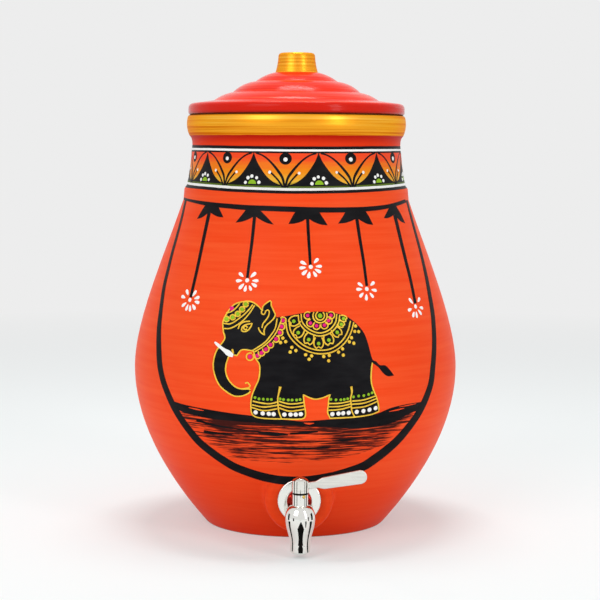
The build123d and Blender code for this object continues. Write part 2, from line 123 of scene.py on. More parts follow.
class JarOrnamentSettings(bpy.types.PropertyGroup):
    """Colours and thicknesses of the painted ornament."""
    black: colour("Black", "Black enamel paint", (15, 14, 17))
    white: colour("White", "White enamel paint", (252, 252, 250))
    green: colour("Green", "Green of the stripe under the leaf band", (74, 92, 24))
    lime: colour("Lime", "Bright green dots", (142, 186, 40))
    magenta: colour("Magenta", "Pink dots of the trappings", (226, 32, 128))
    outliner: colour("Outliner", "Raised gold line", (242, 194, 66))
    leaf_top: colour("Leaf Top", "Orange-red at the top of each leaf cup", (250, 78, 38))
    leaf_middle: colour("Leaf Middle", "Orange in the middle of each leaf cup", (246, 142, 24))
    leaf_foot: colour("Leaf Foot", "Yellow at the foot of each leaf cup", (240, 190, 62))
    gloss: share("Enamel Specular", "Strength of the reflection on the enamels", 0.06)
    coat: length("Coat", "How far the first coat stands off the clay", 0.00014)
    second_coat: length("Second Coat", "How far paint laid over the first stands off", 0.00024)
    third_coat: length("Third Coat", "How far the last fine strokes stand off", 0.00034)
    key_in: length("Key In", "How far the paint reaches into the clay", 0.0004)
    bead: length("Bead Radius", "Radius of the raised gold line", 0.00058)
    dot_height: share("Dot Height", "Height of a dot as a share of its radius", 0.34)
    leaf_count: IntProperty(name="Leaf Count", description="Leaf cups round the neck",
                            default=11, min=3, max=40)
    band_bottom: length("Leaf Band Bottom", "Height of the lower edge of the leaf band", 0.2889)
    band_top: length("Leaf Band Top", "Height of the upper edge of the leaf band", 0.3162)


class JarTapSettings(bpy.types.PropertyGroup):
    """Colours and polish of the tap's metals."""
    steel: colour("Polished Steel", "Mirror-polished steel", (236, 235, 230))
    # Painted reflection: the disc behind the barrel coloured dark red for the jar it mirrors.
    inlet_painted_reflection: colour("Inlet Shoulder", "Disc behind the barrel, which mirrors the red jar",
                  (150, 34, 26))
    # Painted shadow in the seam where the cap turns on the barrel.
    seam: colour("Cap Seam", "Dark line where the cap turns on the barrel", (34, 30, 26))
    lever: colour("Lever Steel", "Brushed steel of the lever", (236, 234, 227))
    plain: colour("Plain Steel", "Turned steel inside the jar", (178, 178, 176))
    brass: colour("Brass", "Brass of the stop pin and spindle", (226, 190, 104))
    rubber: colour("Rubber", "Black rubber seals", (30, 30, 31))
    polish: share("Polish", "Roughness of the polished steel", 0.06)
    lever_polish: share("Lever Polish", "Roughness of the lever", 0.27)


class JarStudioSettings(bpy.types.PropertyGroup):
    """The camera, the lamps and the ground the jar stands on."""
    lens_mm: FloatProperty(name="Lens", description="Focal length in millimetres",
                           default=100.0, min=10.0, unit="CAMERA")
    camera_place: FloatVectorProperty(name="Camera Place", description="Where it stands",
                                      default=(-0.043459, -1.428939, 0.318), size=3,
                                      unit="LENGTH", subtype="TRANSLATION")
    pitch: FloatProperty(name="Pitch", description="How far the camera looks down",
                         default=radians(5.1257), unit="ROTATION", subtype="ANGLE")
    yaw: FloatProperty(name="Yaw", description="How far the camera turns towards +X",
                       default=radians(1.8933), unit="ROTATION", subtype="ANGLE")
    roll: FloatProperty(name="Roll", description="How far the camera leans to its left",
                        default=radians(0.287), unit="ROTATION", subtype="ANGLE")
    floor: colour("Floor", "Colour of the floor", (247, 251, 251))
    backdrop: colour("Backdrop", "Colour behind the jar", (237, 237, 237))
    ambient: FloatProperty(name="Ambient", description="Strength of the even light all round",
                           default=0.46, min=0.0)


SETTINGS = (
    ("water_jar_clay", JarClaySettings),
    ("water_jar_ornament", JarOrnamentSettings),
    ("water_jar_tap", JarTapSettings),
    ("water_jar_studio", JarStudioSettings),
)


# ------------------------------------------------------------------------- reckoning in nodes

class Signal:
    """A value inside a node tree, to reckon with like a number."""

    def __init__(self, nodes, socket):
        self.nodes, self.socket = nodes, socket

    def __add__(self, other):
        return self.nodes.math("ADD", self, other)

    def __sub__(self, other):
        return self.nodes.math("SUBTRACT", self, other)

    def __mul__(self, other):
        return self.nodes.math("MULTIPLY", self, other)

    def span(self, low, high, start=0.0, end=1.0):
        """Runs from start to end as this value runs from low to high."""
        return self.nodes.out("ShaderNodeMapRange",
                              dict(enumerate((self, low, high, start, end))), clamp=True)

    def blend(self, first, second):
        """The first colour where this value is nought, the second where it is one."""
        return self.nodes.out("ShaderNodeMix", {0: self, 6: first, 7: second}, 2,
                              data_type="RGBA")


class Nodes:
    """A node tree, built up node by node."""

    def __init__(self, tree):
        self.tree = tree
        tree.nodes.clear()

    def feed(self, socket, value):
        """Links or sets an input."""
        if isinstance(value, Signal):
            self.tree.links.new(value.socket, socket)
        elif socket.type == "RGBA":
            socket.default_value = (*value, 1.0)
        else:
            socket.default_value = value

    def node(self, kind, inputs=None, **settings):
        made = self.tree.nodes.new(kind)
        for key, value in settings.items():
            setattr(made, key, value)
        for key, value in (inputs or {}).items():
            self.feed(made.inputs[key], value)
        return made

    def out(self, kind, inputs=None, output=0, **settings):
        """One output of a new node."""
        return Signal(self, self.node(kind, inputs, **settings).outputs[output])

    def math(self, kind, *values):
        return self.out("ShaderNodeMath", dict(enumerate(values)), operation=kind)

    def distance(self, x, y):
        return self.math("SQRT", x * x + y * y)

    def parts(self, vector):
        split = self.node("ShaderNodeSeparateXYZ", {0: vector})
        return [Signal(self, part) for part in split.outputs]

    def vector(self, x, y, z):
        return self.out("ShaderNodeCombineXYZ", {0: x, 1: y, 2: z})

    def is_ray(self, *kinds):
        """One for a ray of these kinds, nought for any other."""
        path = self.node("ShaderNodeLightPath").outputs
        first, *others = (Signal(self, path["Is %s Ray" % kind]) for kind in kinds)
        for other in others:
            first = self.math("MAXIMUM", first, other)
        return first


# -------------------------------------------------------------------------- making materials

class Finish(Nodes):
    """A procedural material on the object's own coordinates."""

    def __init__(self, name):
        self.material = bpy.data.materials.new(name)
        self.material.use_nodes = True
        super().__init__(self.material.node_tree)
        self.shader = self.node("ShaderNodeBsdfPrincipled")
        self.lit = Signal(self, self.shader.outputs[0])
        self.surface = self.node("ShaderNodeOutputMaterial", {"Surface": self.lit}).inputs[0]

    def place(self):
        """X, Y and Z on the piece."""
        return self.parts(self.out("ShaderNodeTexCoord", output="Object"))

    def facing(self):
        """X, Y and Z of the way the surface faces."""
        return self.parts(self.out("ShaderNodeNewGeometry", output="Normal"))

    def grain(self, scale, detail=3.0, roughness=0.5):
        """Noise, finer along an axis where scale is larger."""
        at = self.out("ShaderNodeMapping", {
            "Vector": self.out("ShaderNodeTexCoord", output="Object"), "Scale": scale})
        return self.out("ShaderNodeTexNoise", {
            "Vector": at, "Scale": 1.0, "Detail": detail, "Roughness": roughness}, "Fac")

    def bump(self, height, depth, strength):
        self.set(normal=self.out("ShaderNodeBump", {
            "Height": height, "Distance": depth, "Strength": strength}))

    def set(self, **values):
        """Sets or links the shader's own sockets by name."""
        for name, value in values.items():
            label = name.replace("_", " ").title().replace("Ior", "IOR")
            self.feed(self.shader.inputs[label], value)


def toned(tone, times, lift=0.0):
    """A colour made darker or lighter."""
    return tuple(min(1.0, part * times + lift) for part in tone)


UNTINTED = (1.0, 1.0, 1.0)
TINT_LIFT = 0.004
# How much of its colour a thing keeps where it is darkest; on the lid's rim this is painted
# shade.
BARE_DARK, RIM_SHADE_DARK, LEVER_DARK = 0.72, 0.62, 0.88
BARE_ROUGHNESS = 0.85
# Which way up clay faces, from and to, where it turns bare underneath the lid.
UNDERSIDE = (-0.75, -0.85)
TAP_AXIS = (0.0, -0.145653)
CAP_REACH = 0.0068
SHOULDER_DEEP = 0.0026
SHOULDER_Y = min(v.co.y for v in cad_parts["tap_flange"].data.vertices) - SHOULDER_DEEP
SEAM_Z = min(v.co.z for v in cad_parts["lever_handle"].data.vertices)
# Heights on the jar: where the painted shade low on the body begins, the neck's black ground,
# the painted shadow in the gap under the lid and the foot of the lid's rim.
PAINTED_SHADE_BELOW = 0.10
NECK_BLACK = (0.2833, 0.3217)
COLLAR_GAP_SHADOW = 0.3469
LID_FOOT = 0.3476
# Where one colour gives way to the next, from and to, as told from the height it goes by.
GILT_EDGE = (0.00030, 0.00045)
GILT_SHADE = (0.0075, 0.0010)
NECK_SHADE_EDGE = (-0.0020, -0.0010)
STRIP_SHADE = (0.0020, -0.0010)
BARE_FOOT = (0.0004, 0.0008)
RIM_GAP_SHADOW = (0.0007, 0.0011)
RIM_SHADE = (0.0010, 0.0032)
RIM_SHADE_TOP = (0.0088, 0.0097)
GAP_SHADOW_EDGE = (0.0, 0.0004)
KNOB_EDGE = (0.0, 0.0003)
INLET_REFLECTION_EDGE = (0.0, 0.0001)
CAP_EDGE = (0.0, 0.0008)
SEAM_SHADOW_BELOW = (-0.0011, -0.0010)
SEAM_SHADOW_ABOVE = (0.0006, 0.0005)
EDGE_WANDER = 0.0007


def from_to(value, base, ends, start=0.0, end=1.0):
    """Runs from start to end across a change of colour whose ends are told from a base."""
    return value.span(base + ends[0], base + ends[1], start, end)


def clay_colours(finish, settings):
    """The streaky body paint as a colour that any finish can use, with painted shade darkening
    it towards the bottom.
    """
    streaks = finish.grain((9.0, 9.0, 260.0), detail=4.0, roughness=0.6)
    clouds = finish.grain((7.0, 7.0, 10.0), detail=2.0)
    mixed = streaks * 0.62 + clouds * 0.38
    painted = mixed.span(0.40, 0.62).blend(settings.paint, settings.paint_light)
    # Painted shade: the paint darkens towards the bottom of the body.
    low = finish.place()[2].span(PAINTED_SHADE_BELOW, 0.0, 0.0, 0.6)
    return low.blend(painted, settings.paint_deep)


def gilt_colours(finish, settings):
    """Streaky gold paint as a colour, a little darker along the collar's lower edge."""
    shade = from_to(finish.place()[2], settings.collar_bottom, GILT_SHADE, 0.0, 0.16)
    streaks = finish.grain((5.0, 5.0, 700.0), detail=4.0, roughness=0.6) - shade
    deep = streaks.span(0.30, 0.50).blend(settings.gilt_deep, settings.gilt)
    return streaks.span(0.52, 0.70).blend(deep, settings.gilt_light)


def outside(finish):
    """Above nought where the surface faces away from the jar's axis."""
    (x, y, _), (turn_x, turn_y, _) = finish.place(), finish.facing()
    return x * turn_x + y * turn_y


def body_clay(settings):
    """Orange-red paint, gold collar and bare clay inside and underneath, with painted shade and
    shadow under the collar and a painted shadow in the gap under the lid.
    """
    finish = Finish("painted_clay")
    height = finish.place()[2]
    edge = height + finish.grain((60.0, 60.0, 60.0)) * EDGE_WANDER
    collar = from_to(edge, settings.collar_bottom, GILT_EDGE)
    # Painted shade above the neck bands, darkest as a painted shadow close under the collar.
    shade = edge.span(NECK_BLACK[1] + STRIP_SHADE[0], settings.collar_bottom + STRIP_SHADE[1])
    strip = shade.blend(settings.strip, settings.collar_painted_shadow)
    red = from_to(edge, NECK_BLACK[1], NECK_SHADE_EDGE).blend(clay_colours(finish, settings), strip)
    painted = collar.blend(red, gilt_colours(finish, settings))
    # Painted shadow of the gap under the lid, along the collar's top.
    painted = from_to(height, COLLAR_GAP_SHADOW, GAP_SHADOW_EDGE).blend(painted, settings.gap_painted_shadow)
    coated = outside(finish).span(0.0, 0.004) * height.span(*BARE_FOOT)
    speckle = finish.grain((240.0, 240.0, 240.0), detail=5.0)
    bare = speckle.span(0.35, 0.65).blend(toned(settings.bare, BARE_DARK), settings.bare)
    gilded = collar * coated
    satin = collar.span(0.0, 1.0, settings.sheen, settings.gilt_sheen)
    finish.set(base_color=coated.blend(bare, painted),
               roughness=coated.span(0.0, 1.0, BARE_ROUGHNESS, satin),
               specular_ior_level=settings.gloss,
               metallic=gilded * settings.gilt_metal,
               specular_tint=gilded.blend(UNTINTED, settings.gilt))
    finish.bump(finish.grain((14.0, 14.0, 700.0), detail=4.0), 0.00012, 0.5)
    return finish.material


def lid_clay(settings):
    """Red paint over throwing rings, a gold knob and a bare underside, with painted shade down
    the rim and a painted shadow in the gap at its foot.
    """
    finish = Finish("lid_clay")
    height = finish.place()[2]
    knob = from_to(height, settings.knob_bottom, KNOB_EDGE)
    rings = finish.grain((5.0, 5.0, 640.0), detail=5.0, roughness=0.62)
    red = rings.span(0.36, 0.54).blend(settings.lid_paint_deep, settings.lid_paint)
    red = rings.span(0.54, 0.66).blend(red, settings.lid_paint_light)
    # Painted shade down the lid's rim, darkest near its foot, then the painted shadow of the
    # gap.
    rim_deepest_shade = toned(settings.lid_rim_painted_shade, RIM_SHADE_DARK)
    rim = from_to(height, LID_FOOT, RIM_SHADE).blend(rim_deepest_shade, settings.lid_rim_painted_shade)
    rim = from_to(height, LID_FOOT, RIM_GAP_SHADOW).blend(settings.gap_painted_shadow, rim)
    red = from_to(height, LID_FOOT, RIM_SHADE_TOP).blend(rim, red)
    painted = knob.blend(red, gilt_colours(finish, settings))
    under = finish.facing()[2].span(*UNDERSIDE)
    finish.set(base_color=under.blend(painted, settings.bare),
               roughness=knob.span(0.0, 1.0, settings.lid_sheen, settings.gilt_sheen),
               specular_ior_level=settings.lid_gloss,
               metallic=knob * settings.gilt_metal,
               specular_tint=knob.blend(UNTINTED, settings.gilt))
    finish.bump(finish.grain((4.0, 4.0, 560.0)), 0.0003, 0.7)
    return finish.material


def enamel(name, tone, gloss, roughness=0.42, drift=0.10):
    """Plain hand paint with a little drift in its depth of colour."""
    finish = Finish(name)
    strokes = finish.grain((60.0, 60.0, 220.0))
    thin = toned(tone, 1.0 + drift, TINT_LIFT)
    finish.set(base_color=strokes.span(0.35, 0.65).blend(tone, thin), roughness=roughness,
               specular_ior_level=gloss)
    finish.bump(finish.grain((90.0, 90.0, 320.0), detail=2.0), 0.00006, 0.4)
    return finish.material


def leaf_enamel(ornament):
    """Green root and yellow foot of each leaf cup, through orange, to orange-red at its top."""
    finish = Finish("leaf_orange")
    strokes = finish.grain((40.0, 40.0, 420.0), detail=4.0, roughness=0.6)
    height = finish.place()[2] + strokes.span(0.3, 0.7, -0.0025, 0.0025)
    tall = ornament.band_top - ornament.band_bottom
    tone = ornament.green
    for start, end, above in ((-0.02, 0.14, ornament.leaf_foot),
                              (0.10, 0.42, ornament.leaf_middle),
                              (0.48, 0.86, ornament.leaf_top)):
        rise = from_to(height, ornament.band_bottom, (start * tall, end * tall))
        tone = rise.blend(tone, above)
    finish.set(base_color=tone, roughness=0.38, specular_ior_level=ornament.gloss)
    return finish.material


# The brushed patch: its lowest height, half its width there and how much wider each metre
# higher is; then how its edges thin out, each over a stretch of height or of width.
BRUSH_FOOT, BRUSH_HALF, BRUSH_FLARE = 0.0725, 0.060, 1.12
BRUSH_LOW_FADE = (BRUSH_FOOT, BRUSH_FOOT + 0.008, -0.075, 0.0)
BRUSH_HIGH_FADE = (0.082, 0.104, 0.0, 0.05)
BRUSH_SIDE_FADE = (0.0, 0.012, -0.12, 0.0)


def dry_brush(clay, ornament):
    """Black dragged thinly over the body paint, darkest high up."""
    finish = Finish("dry_brushed_ground")
    across, _, height = finish.place()
    cover = (finish.grain((34.0, 34.0, 1050.0), roughness=0.55) * 0.74
             + finish.grain((46.0, 46.0, 120.0), roughness=0.6) * 0.26)
    reach = ((height - BRUSH_FOOT) * BRUSH_FLARE + BRUSH_HALF
             - finish.math("ABSOLUTE", across))
    fades = (height.span(*BRUSH_LOW_FADE) + height.span(*BRUSH_HIGH_FADE)
             + reach.span(*BRUSH_SIDE_FADE))
    inked = (cover + fades).span(0.438, 0.528) * 0.95
    finish.set(base_color=inked.blend(clay_colours(finish, clay), ornament.black),
               roughness=0.42, specular_ior_level=ornament.gloss)
    return finish.material


def polished(name, tone, roughness, wave=0.00002, tap=None):
    """Bright metal with the slight waviness of a hand-held polish; on the tap's body also a
    painted reflection and a painted seam shadow.
    """
    finish = Finish(name)
    if tap:
        _, depth, height = finish.place()
        # Painted reflection of the red jar on the disc behind the barrel.
        tone = from_to(depth, SHOULDER_Y, INLET_REFLECTION_EDGE).blend(tone, tap.inlet_painted_reflection)
        # Painted shadow in the seam under the cap.
        tone = from_to(height, SEAM_Z, SEAM_SHADOW_BELOW).blend(tone, tap.seam)
    finish.set(metallic=1.0, roughness=roughness, base_color=tone)
    finish.bump(finish.grain((120.0, 120.0, 120.0), detail=2.0), wave, 0.5)
    return finish.material


def brushed_lever(name, tap):
    """Satin steel with fine lines along the lever, and a polished cap round the spindle, with a
    painted seam shadow at the cap's foot.
    """
    finish = Finish(name)
    lines = finish.grain((60.0, 900.0, 900.0), detail=4.0)
    x, y, height = finish.place()
    reach = finish.distance(x, y - TAP_AXIS[1])
    arm = from_to(reach, CAP_REACH, CAP_EDGE)
    tone = lines.span(0.35, 0.65).blend(toned(tap.lever, LEVER_DARK), tap.lever)
    # Painted shadow in the seam, on the foot of the cap.
    tone = from_to(height, SEAM_Z, SEAM_SHADOW_ABOVE).blend(tone, tap.seam)
    satin = lines.span(0.3, 0.7, tap.lever_polish + 0.07, tap.lever_polish)
    finish.set(base_color=tone, metallic=1.0, roughness=arm.span(0.0, 1.0, tap.polish, satin))
    finish.bump(lines * arm, 0.00003, 0.4)
    return finish.material


def matt(name, tone, roughness):
    """Dull rubber with a faint bloom."""
    finish = Finish(name)
    cloud = finish.grain((300.0, 300.0, 300.0), detail=2.0)
    finish.set(base_color=cloud.span(0.4, 0.6).blend(tone, toned(tone, 1.15, TINT_LIFT)),
               roughness=roughness)
    return finish.material


def wear(material, *nodes):
    """Gives the named solids one finish."""
    for name in nodes:
        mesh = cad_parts[name].data
        mesh.materials.clear()
        mesh.materials.append(material)


# ----------------------------------------------------------------- finding places on the clay

JAR_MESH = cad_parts["jar_body"].data
CLAY_TREE = BVHTree.FromPolygons([v.co.copy() for v in JAR_MESH.vertices],
                                 [tuple(p.vertices) for p in JAR_MESH.polygons])
PAD_PROUD = 0.0003
OUTLINE_BIN = 0.0005
OUTLINE_NEAR = 0.003
OUTLINE_SLACK = 0.0022
SLOPE_REACH = 0.002
RAY_START = 0.2
UPWARD = Vector((0.0, 0.0, 1.0))


def read_outline():
    """Height and radius up the outer wall, from the back where it is quite round."""
    widest = {}
    for vertex in JAR_MESH.vertices:
        x, y, z = vertex.co
        if y > 0.0:
            step = round(z / OUTLINE_BIN)
            if hypot(x, y) > widest.get(step, (0.0, 0.0))[0]:
                widest[step] = (hypot(x, y), z)
    rows = sorted((z, r) for r, z in widest.values())
    kept = []
    for z, r in rows:
        near = [other for height, other in rows if abs(height - z) < OUTLINE_NEAR]
        if r > max(near) - OUTLINE_SLACK:
            kept.append((z, r))
    return kept


OUTER_WALL = read_outline()
WALL_HEIGHTS = [height for height, _ in OUTER_WALL]


def wall_radius(height):
    """Radius of the outer wall at a height."""
    above = bisect_right(WALL_HEIGHTS, height)
    if above in (0, len(OUTER_WALL)):
        return OUTER_WALL[max(above - 1, 0)][1]
    (z_low, r_low), (z_high, r_high) = OUTER_WALL[above - 1:above + 1]
    return r_low + (r_high - r_low) * ((height - z_low) / (z_high - z_low))


def on_ring(bearing, height):
    """The clay's point and outward direction at a bearing from the front and a height."""
    out = Vector((sin(bearing), -cos(bearing), 0.0))
    far = Vector((out.x * RAY_START, out.y * RAY_START, height))
    hit = CLAY_TREE.ray_cast(far, -out)[0]
    radius = wall_radius(height) if hit is None else hypot(hit.x, hit.y)
    lean = wall_radius(height + SLOPE_REACH) - wall_radius(height - SLOPE_REACH)
    facing = Vector((out.x, out.y, -lean / (2 * SLOPE_REACH))).normalized()
    return Vector((out.x * radius, out.y * radius, height)), facing


def camera_turn(studio):
    """The camera's turn as a matrix: level, then pitched, turned and rolled."""
    level = Euler((pi / 2 - studio.pitch, 0.0, -studio.yaw)).to_matrix()
    return level @ Matrix.Rotation(studio.roll, 3, "Z")


class PhotoEye:
    """Looks along the photograph's sight lines and finds where they meet the clay."""

    def __init__(self, studio):
        self.stand = Vector(studio.camera_place)
        self.right, self.up, behind = (camera_turn(studio).col[k] for k in range(3))
        self.ahead = -behind
        self.focal_px = PHOTO_PX * studio.lens_mm / SENSOR_MM

    def __call__(self, px, py):
        """The clay's point and outward direction under a pixel."""
        sight = (self.ahead + self.right * ((px - PHOTO_PX / 2) / self.focal_px)
                 + self.up * ((PHOTO_PX / 2 - py) / self.focal_px)).normalized()
        point, facing, _, _ = CLAY_TREE.ray_cast(self.stand, sight)
        if point is None:
            raise RuntimeError("no clay under pixel %.1f, %.1f" % (px, py))
        if facing.dot(sight) > 0:
            facing = -facing
        if hypot(point.x, point.y) > wall_radius(point.z) + PAD_PROUD:
            return point, facing
        return on_ring(atan2(point.x, -point.y), point.z)

    def px_size(self, px, py):
        """How long one pixel is on the clay, square to the sight line."""
        point, _ = self(px, py)
        return (point - self.stand).dot(self.ahead) / self.focal_px


# --------------------------------------------------------------------- curves and flat shapes

CORNER_TURN = radians(58)
SHARP_EDGE = radians(40)
TINY = 1e-9
WELD = 1e-6
ARC_STEP_DEGREES = 24.0
# Points inside a filled shape keep this share of their spacing clear of its edge.
EDGE_CLEAR = 0.55


def curve_through(points, step, closed=False):
    """A smooth line through points, kept sharp where it turns hard."""
    points = [Vector(p[:2]) for p in points]
    count = len(points)

    def at(index):
        if closed:
            return points[index % count]
        return points[max(0, min(count - 1, index))]

    def slope(index, along):
        """How the line runs at a point: by both its neighbours, or straight at a corner."""
        before, after = at(index) - at(index - 1), at(index + 1) - at(index)
        way = at(index + 1) - at(index - 1)
        if closed or index not in (0, count - 1):
            if min(before.length, after.length) < TINY or before.angle(after) > CORNER_TURN:
                way = along
        return way.normalized() * along.length

    line = []
    for index in range(count if closed else count - 1):
        start, end = at(index), at(index + 1)
        leave = slope(index, end - start)
        arrive = slope((index + 1) % count if closed else index + 1, end - start)
        pieces = max(1, ceil((end - start).length / step))
        for k in range(pieces):
            t = k / pieces
            line.append(start * (2 * t**3 - 3 * t**2 + 1) + leave * (t**3 - 2 * t**2 + t)
                        + end * (3 * t**2 - 2 * t**3) + arrive * (t**3 - t**2))
    if not closed:
        line.append(points[-1])
    return line


def arc(centre, radius, start, end):
    """Points of an arc in pixels; angles in degrees, anticlockwise as seen."""
    pieces = max(3, ceil(abs(end - start) / ARC_STEP_DEGREES))
    turns = [radians(start + (end - start) * k / pieces) for k in range(pieces + 1)]
    return [(centre[0] + radius * cos(turn), centre[1] - radius * sin(turn)) for turn in turns]


def partway(values, part):
    """The value a part of the way through a row of values, from nought to one."""
    at = part * (len(values) - 1)
    low = min(int(at), len(values) - 2)
    return values[low] + (values[low + 1] - values[low]) * (at - low)


def inside(point, outline):
    """Whether a flat point lies within a closed outline."""
    x, y = point
    held = False
    for (x1, y1), (x2, y2) in zip(outline, outline[1:] + outline[:1]):
        if (y1 > y) != (y2 > y) and x < (x2 - x1) * (y - y1) / (y2 - y1) + x1:
            held = not held
    return held


def fill_outline(outline, spacing):
    """Flat points and triangles that fill a closed outline."""
    border = [tuple(p) for p in outline]
    xs, ys = zip(*border)
    coords = [Vector(p) for p in border]
    row = min(ys) + spacing * 0.5
    while row < max(ys):
        column = min(xs) + spacing * 0.5
        while column < max(xs):
            if inside((column, row), border) and min(
                    hypot(column - x, row - y) for x, y in border) > spacing * EDGE_CLEAR:
                coords.append(Vector((column, row)))
            column += spacing
        row += spacing
    filled = delaunay_2d_cdt(coords, [], [list(range(len(border)))], 1, WELD)
    return [tuple(p) for p in filled[0]], [tuple(f) for f in filled[2]]


def brush_strip(line, widths, columns):
    """Flat points and quads of a brush stroke whose width runs through the widths given."""
    line = [Vector(p) for p in line]
    total = [0.0]
    for first, second in zip(line, line[1:]):
        total.append(total[-1] + (second - first).length)
    flat, faces = [], []
    for index, point in enumerate(line):
        ahead = line[min(index + 1, len(line) - 1)] - line[max(index - 1, 0)]
        side = Vector((-ahead.y, ahead.x)).normalized()
        width = partway(widths, total[index] / total[-1])
        for column in range(columns + 1):
            flat.append(tuple(point + side * width * (column / columns - 0.5)))
    for index in range(len(line) - 1):
        for column in range(columns):
            first = index * (columns + 1) + column
            faces.append((first, first + 1, first + columns + 2, first + columns + 1))
    return flat, faces


class PaintCoat:
    """Gathers thin closed pads of paint, each pushed a little into what carries it."""

    def __init__(self, lift, key_in):
        self.lift, self.key_in = lift, key_in
        self.points, self.faces = [], []

    def pad(self, flat, faces, place):
        """Adds a flat shape, thrown onto the clay by place."""
        base, under = len(self.points), len(self.points) + len(flat)
        spots = [place(*p) for p in flat]
        self.points += [point + facing * self.lift for point, facing in spots]
        self.points += [point - facing * self.key_in for point, facing in spots]
        outward = 0.0
        for face in faces:
            a, b, c = (spots[i][0] for i in face[:3])
            outward += (b - a).cross(c - a).dot(spots[face[0]][1])
        if outward < 0:
            faces = [tuple(reversed(face)) for face in faces]
        edges = dict.fromkeys(edge for face in faces for edge in zip(face, face[1:] + face[:1]))
        for face in faces:
            self.faces.append(tuple(base + i for i in face))
            self.faces.append(tuple(under + i for i in reversed(face)))
        self.faces += [(base + second, base + first, under + first, under + second)
                       for first, second in edges if (second, first) not in edges]

    def stroke(self, points, widths, place, step, columns=2):
        """Adds a brush stroke along a smooth line."""
        self.pad(*brush_strip(curve_through(points, step), widths, columns), place)

    def shape(self, points, place, step, spacing):
        """Adds a filled shape with a smooth outline."""
        self.pad(*fill_outline(curve_through(points, step, closed=True), spacing), place)

    def mesh(self):
        made = bpy.data.meshes.new("paint_coat")
        made.from_pydata(self.points, [], self.faces)
        made.validate()
        return made


def show(name, data):
    """A new object in the scene."""
    shown = bpy.data.objects.new(name, data)
    bpy.context.scene.collection.objects.link(shown)
    return shown


def settle(name, mesh, material):
    """Shows a finished mesh as a piece of paint that rides on the jar."""
    mesh.name = name
    mesh.materials.clear()
    mesh.materials.append(material)
    mesh.shade_smooth()
    mesh.set_sharp_from_angle(angle=SHARP_EDGE)
    piece = show(name, mesh)
    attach(piece, "jar")


# ----------------------------------------------------------------------------- geometry nodes

class Recipe(Nodes):
    """A tree of geometry nodes with named inputs."""

    def __init__(self, name, *inputs):
        super().__init__(bpy.data.node_groups.new(name, "GeometryNodeTree"))
        face = self.tree.interface
        face.new_socket("Geometry", in_out="OUTPUT", socket_type="NodeSocketGeometry")
        for label, kind, default in (("Geometry", "Geometry", None), *inputs,
                                     ("Material", "Material", None)):
            socket = face.new_socket(label, in_out="INPUT", socket_type="NodeSocket" + kind)
            if default is not None:
                socket.default_value = default
        self.given = {socket.name: Signal(self, socket)
                      for socket in self.node("NodeGroupInput").outputs}

    def place(self):
        """X, Y and Z of each point."""
        return self.parts(self.out("GeometryNodeInputPosition"))

    def attribute(self, name, kind="FLOAT"):
        return self.out("GeometryNodeInputNamedAttribute", {"Name": name}, "Attribute",
                        data_type=kind)

    def shape_of(self, label):
        """The geometry of the object given as an input."""
        return self.out("GeometryNodeObjectInfo", {"Object": self.given[label]}, "Geometry")

    def finish(self, geometry):
        """Realizes what was made and gives it the material from the inputs."""
        real = self.out("GeometryNodeRealizeInstances", {0: geometry})
        dressed = self.out("GeometryNodeSetMaterial",
                           {"Geometry": real, "Material": self.given["Material"]})
        self.node("NodeGroupOutput", {0: dressed})
        return self

    def run(self, mesh, **values):
        """The plain mesh that the tree makes from a mesh."""
        holder = show("recipe_source", mesh)
        modifier = holder.modifiers.new("recipe", "NODES")
        modifier.node_group = self.tree
        for socket in self.tree.interface.items_tree:
            key = socket.name.replace(" ", "_").lower()
            if socket.in_out == "INPUT" and key in values:
                modifier[socket.identifier] = values[key]
        depsgraph = bpy.context.evaluated_depsgraph_get()
        made = bpy.data.meshes.new_from_object(holder.evaluated_get(depsgraph),
                                               depsgraph=depsgraph)
        holder.modifiers.clear()
        bpy.data.objects.remove(holder)
        return made


@cache
def bead_recipe():
    """A round bead of paint along every line of a wire mesh."""
    recipe = Recipe("outliner_bead", ("Radius", "Float", 0.0006), ("Sides", "Int", 8))
    given = recipe.given
    ring = recipe.out("GeometryNodeCurvePrimitiveCircle",
                      {"Resolution": given["Sides"], "Radius": 1.0})
    return recipe.finish(recipe.out("GeometryNodeCurveToMesh", {
        "Curve": recipe.out("GeometryNodeMeshToCurve", {0: given["Geometry"]}),
        "Profile Curve": ring, "Scale": recipe.attribute("swell") * given["Radius"],
        "Fill Caps": True}))


@cache
def stamp_recipe():
    """A rounded blob of paint at every point, turned to lie on what carries it."""
    recipe = Recipe("paint_stamp", ("Flatness", "Float", 0.34), ("Slimness", "Float", 1.0),
                    ("Taper", "Float", 0.0), ("Segments", "Int", 12), ("Rings", "Int", 8))
    given = recipe.given
    ball = recipe.out("GeometryNodeMeshUVSphere", {
        "Segments": given["Segments"], "Rings": given["Rings"], "Radius": 1.0})
    x, y, z = recipe.place()
    side = y * (x * given["Taper"] + 1.0) * given["Slimness"]
    blob = recipe.out("GeometryNodeSetPosition", {
        "Geometry": ball, "Position": recipe.vector(x, side, z * given["Flatness"])})
    turn = recipe.out("FunctionNodeAxesToRotation", {
        0: recipe.attribute("facing", "FLOAT_VECTOR"),
        1: recipe.attribute("heading", "FLOAT_VECTOR")}, primary_axis="Z", secondary_axis="X")
    size = recipe.attribute("size")
    return recipe.finish(recipe.out("GeometryNodeInstanceOnPoints", {
        "Points": given["Geometry"], "Instance": blob, "Rotation": turn,
        "Scale": recipe.vector(size, size, size)}))


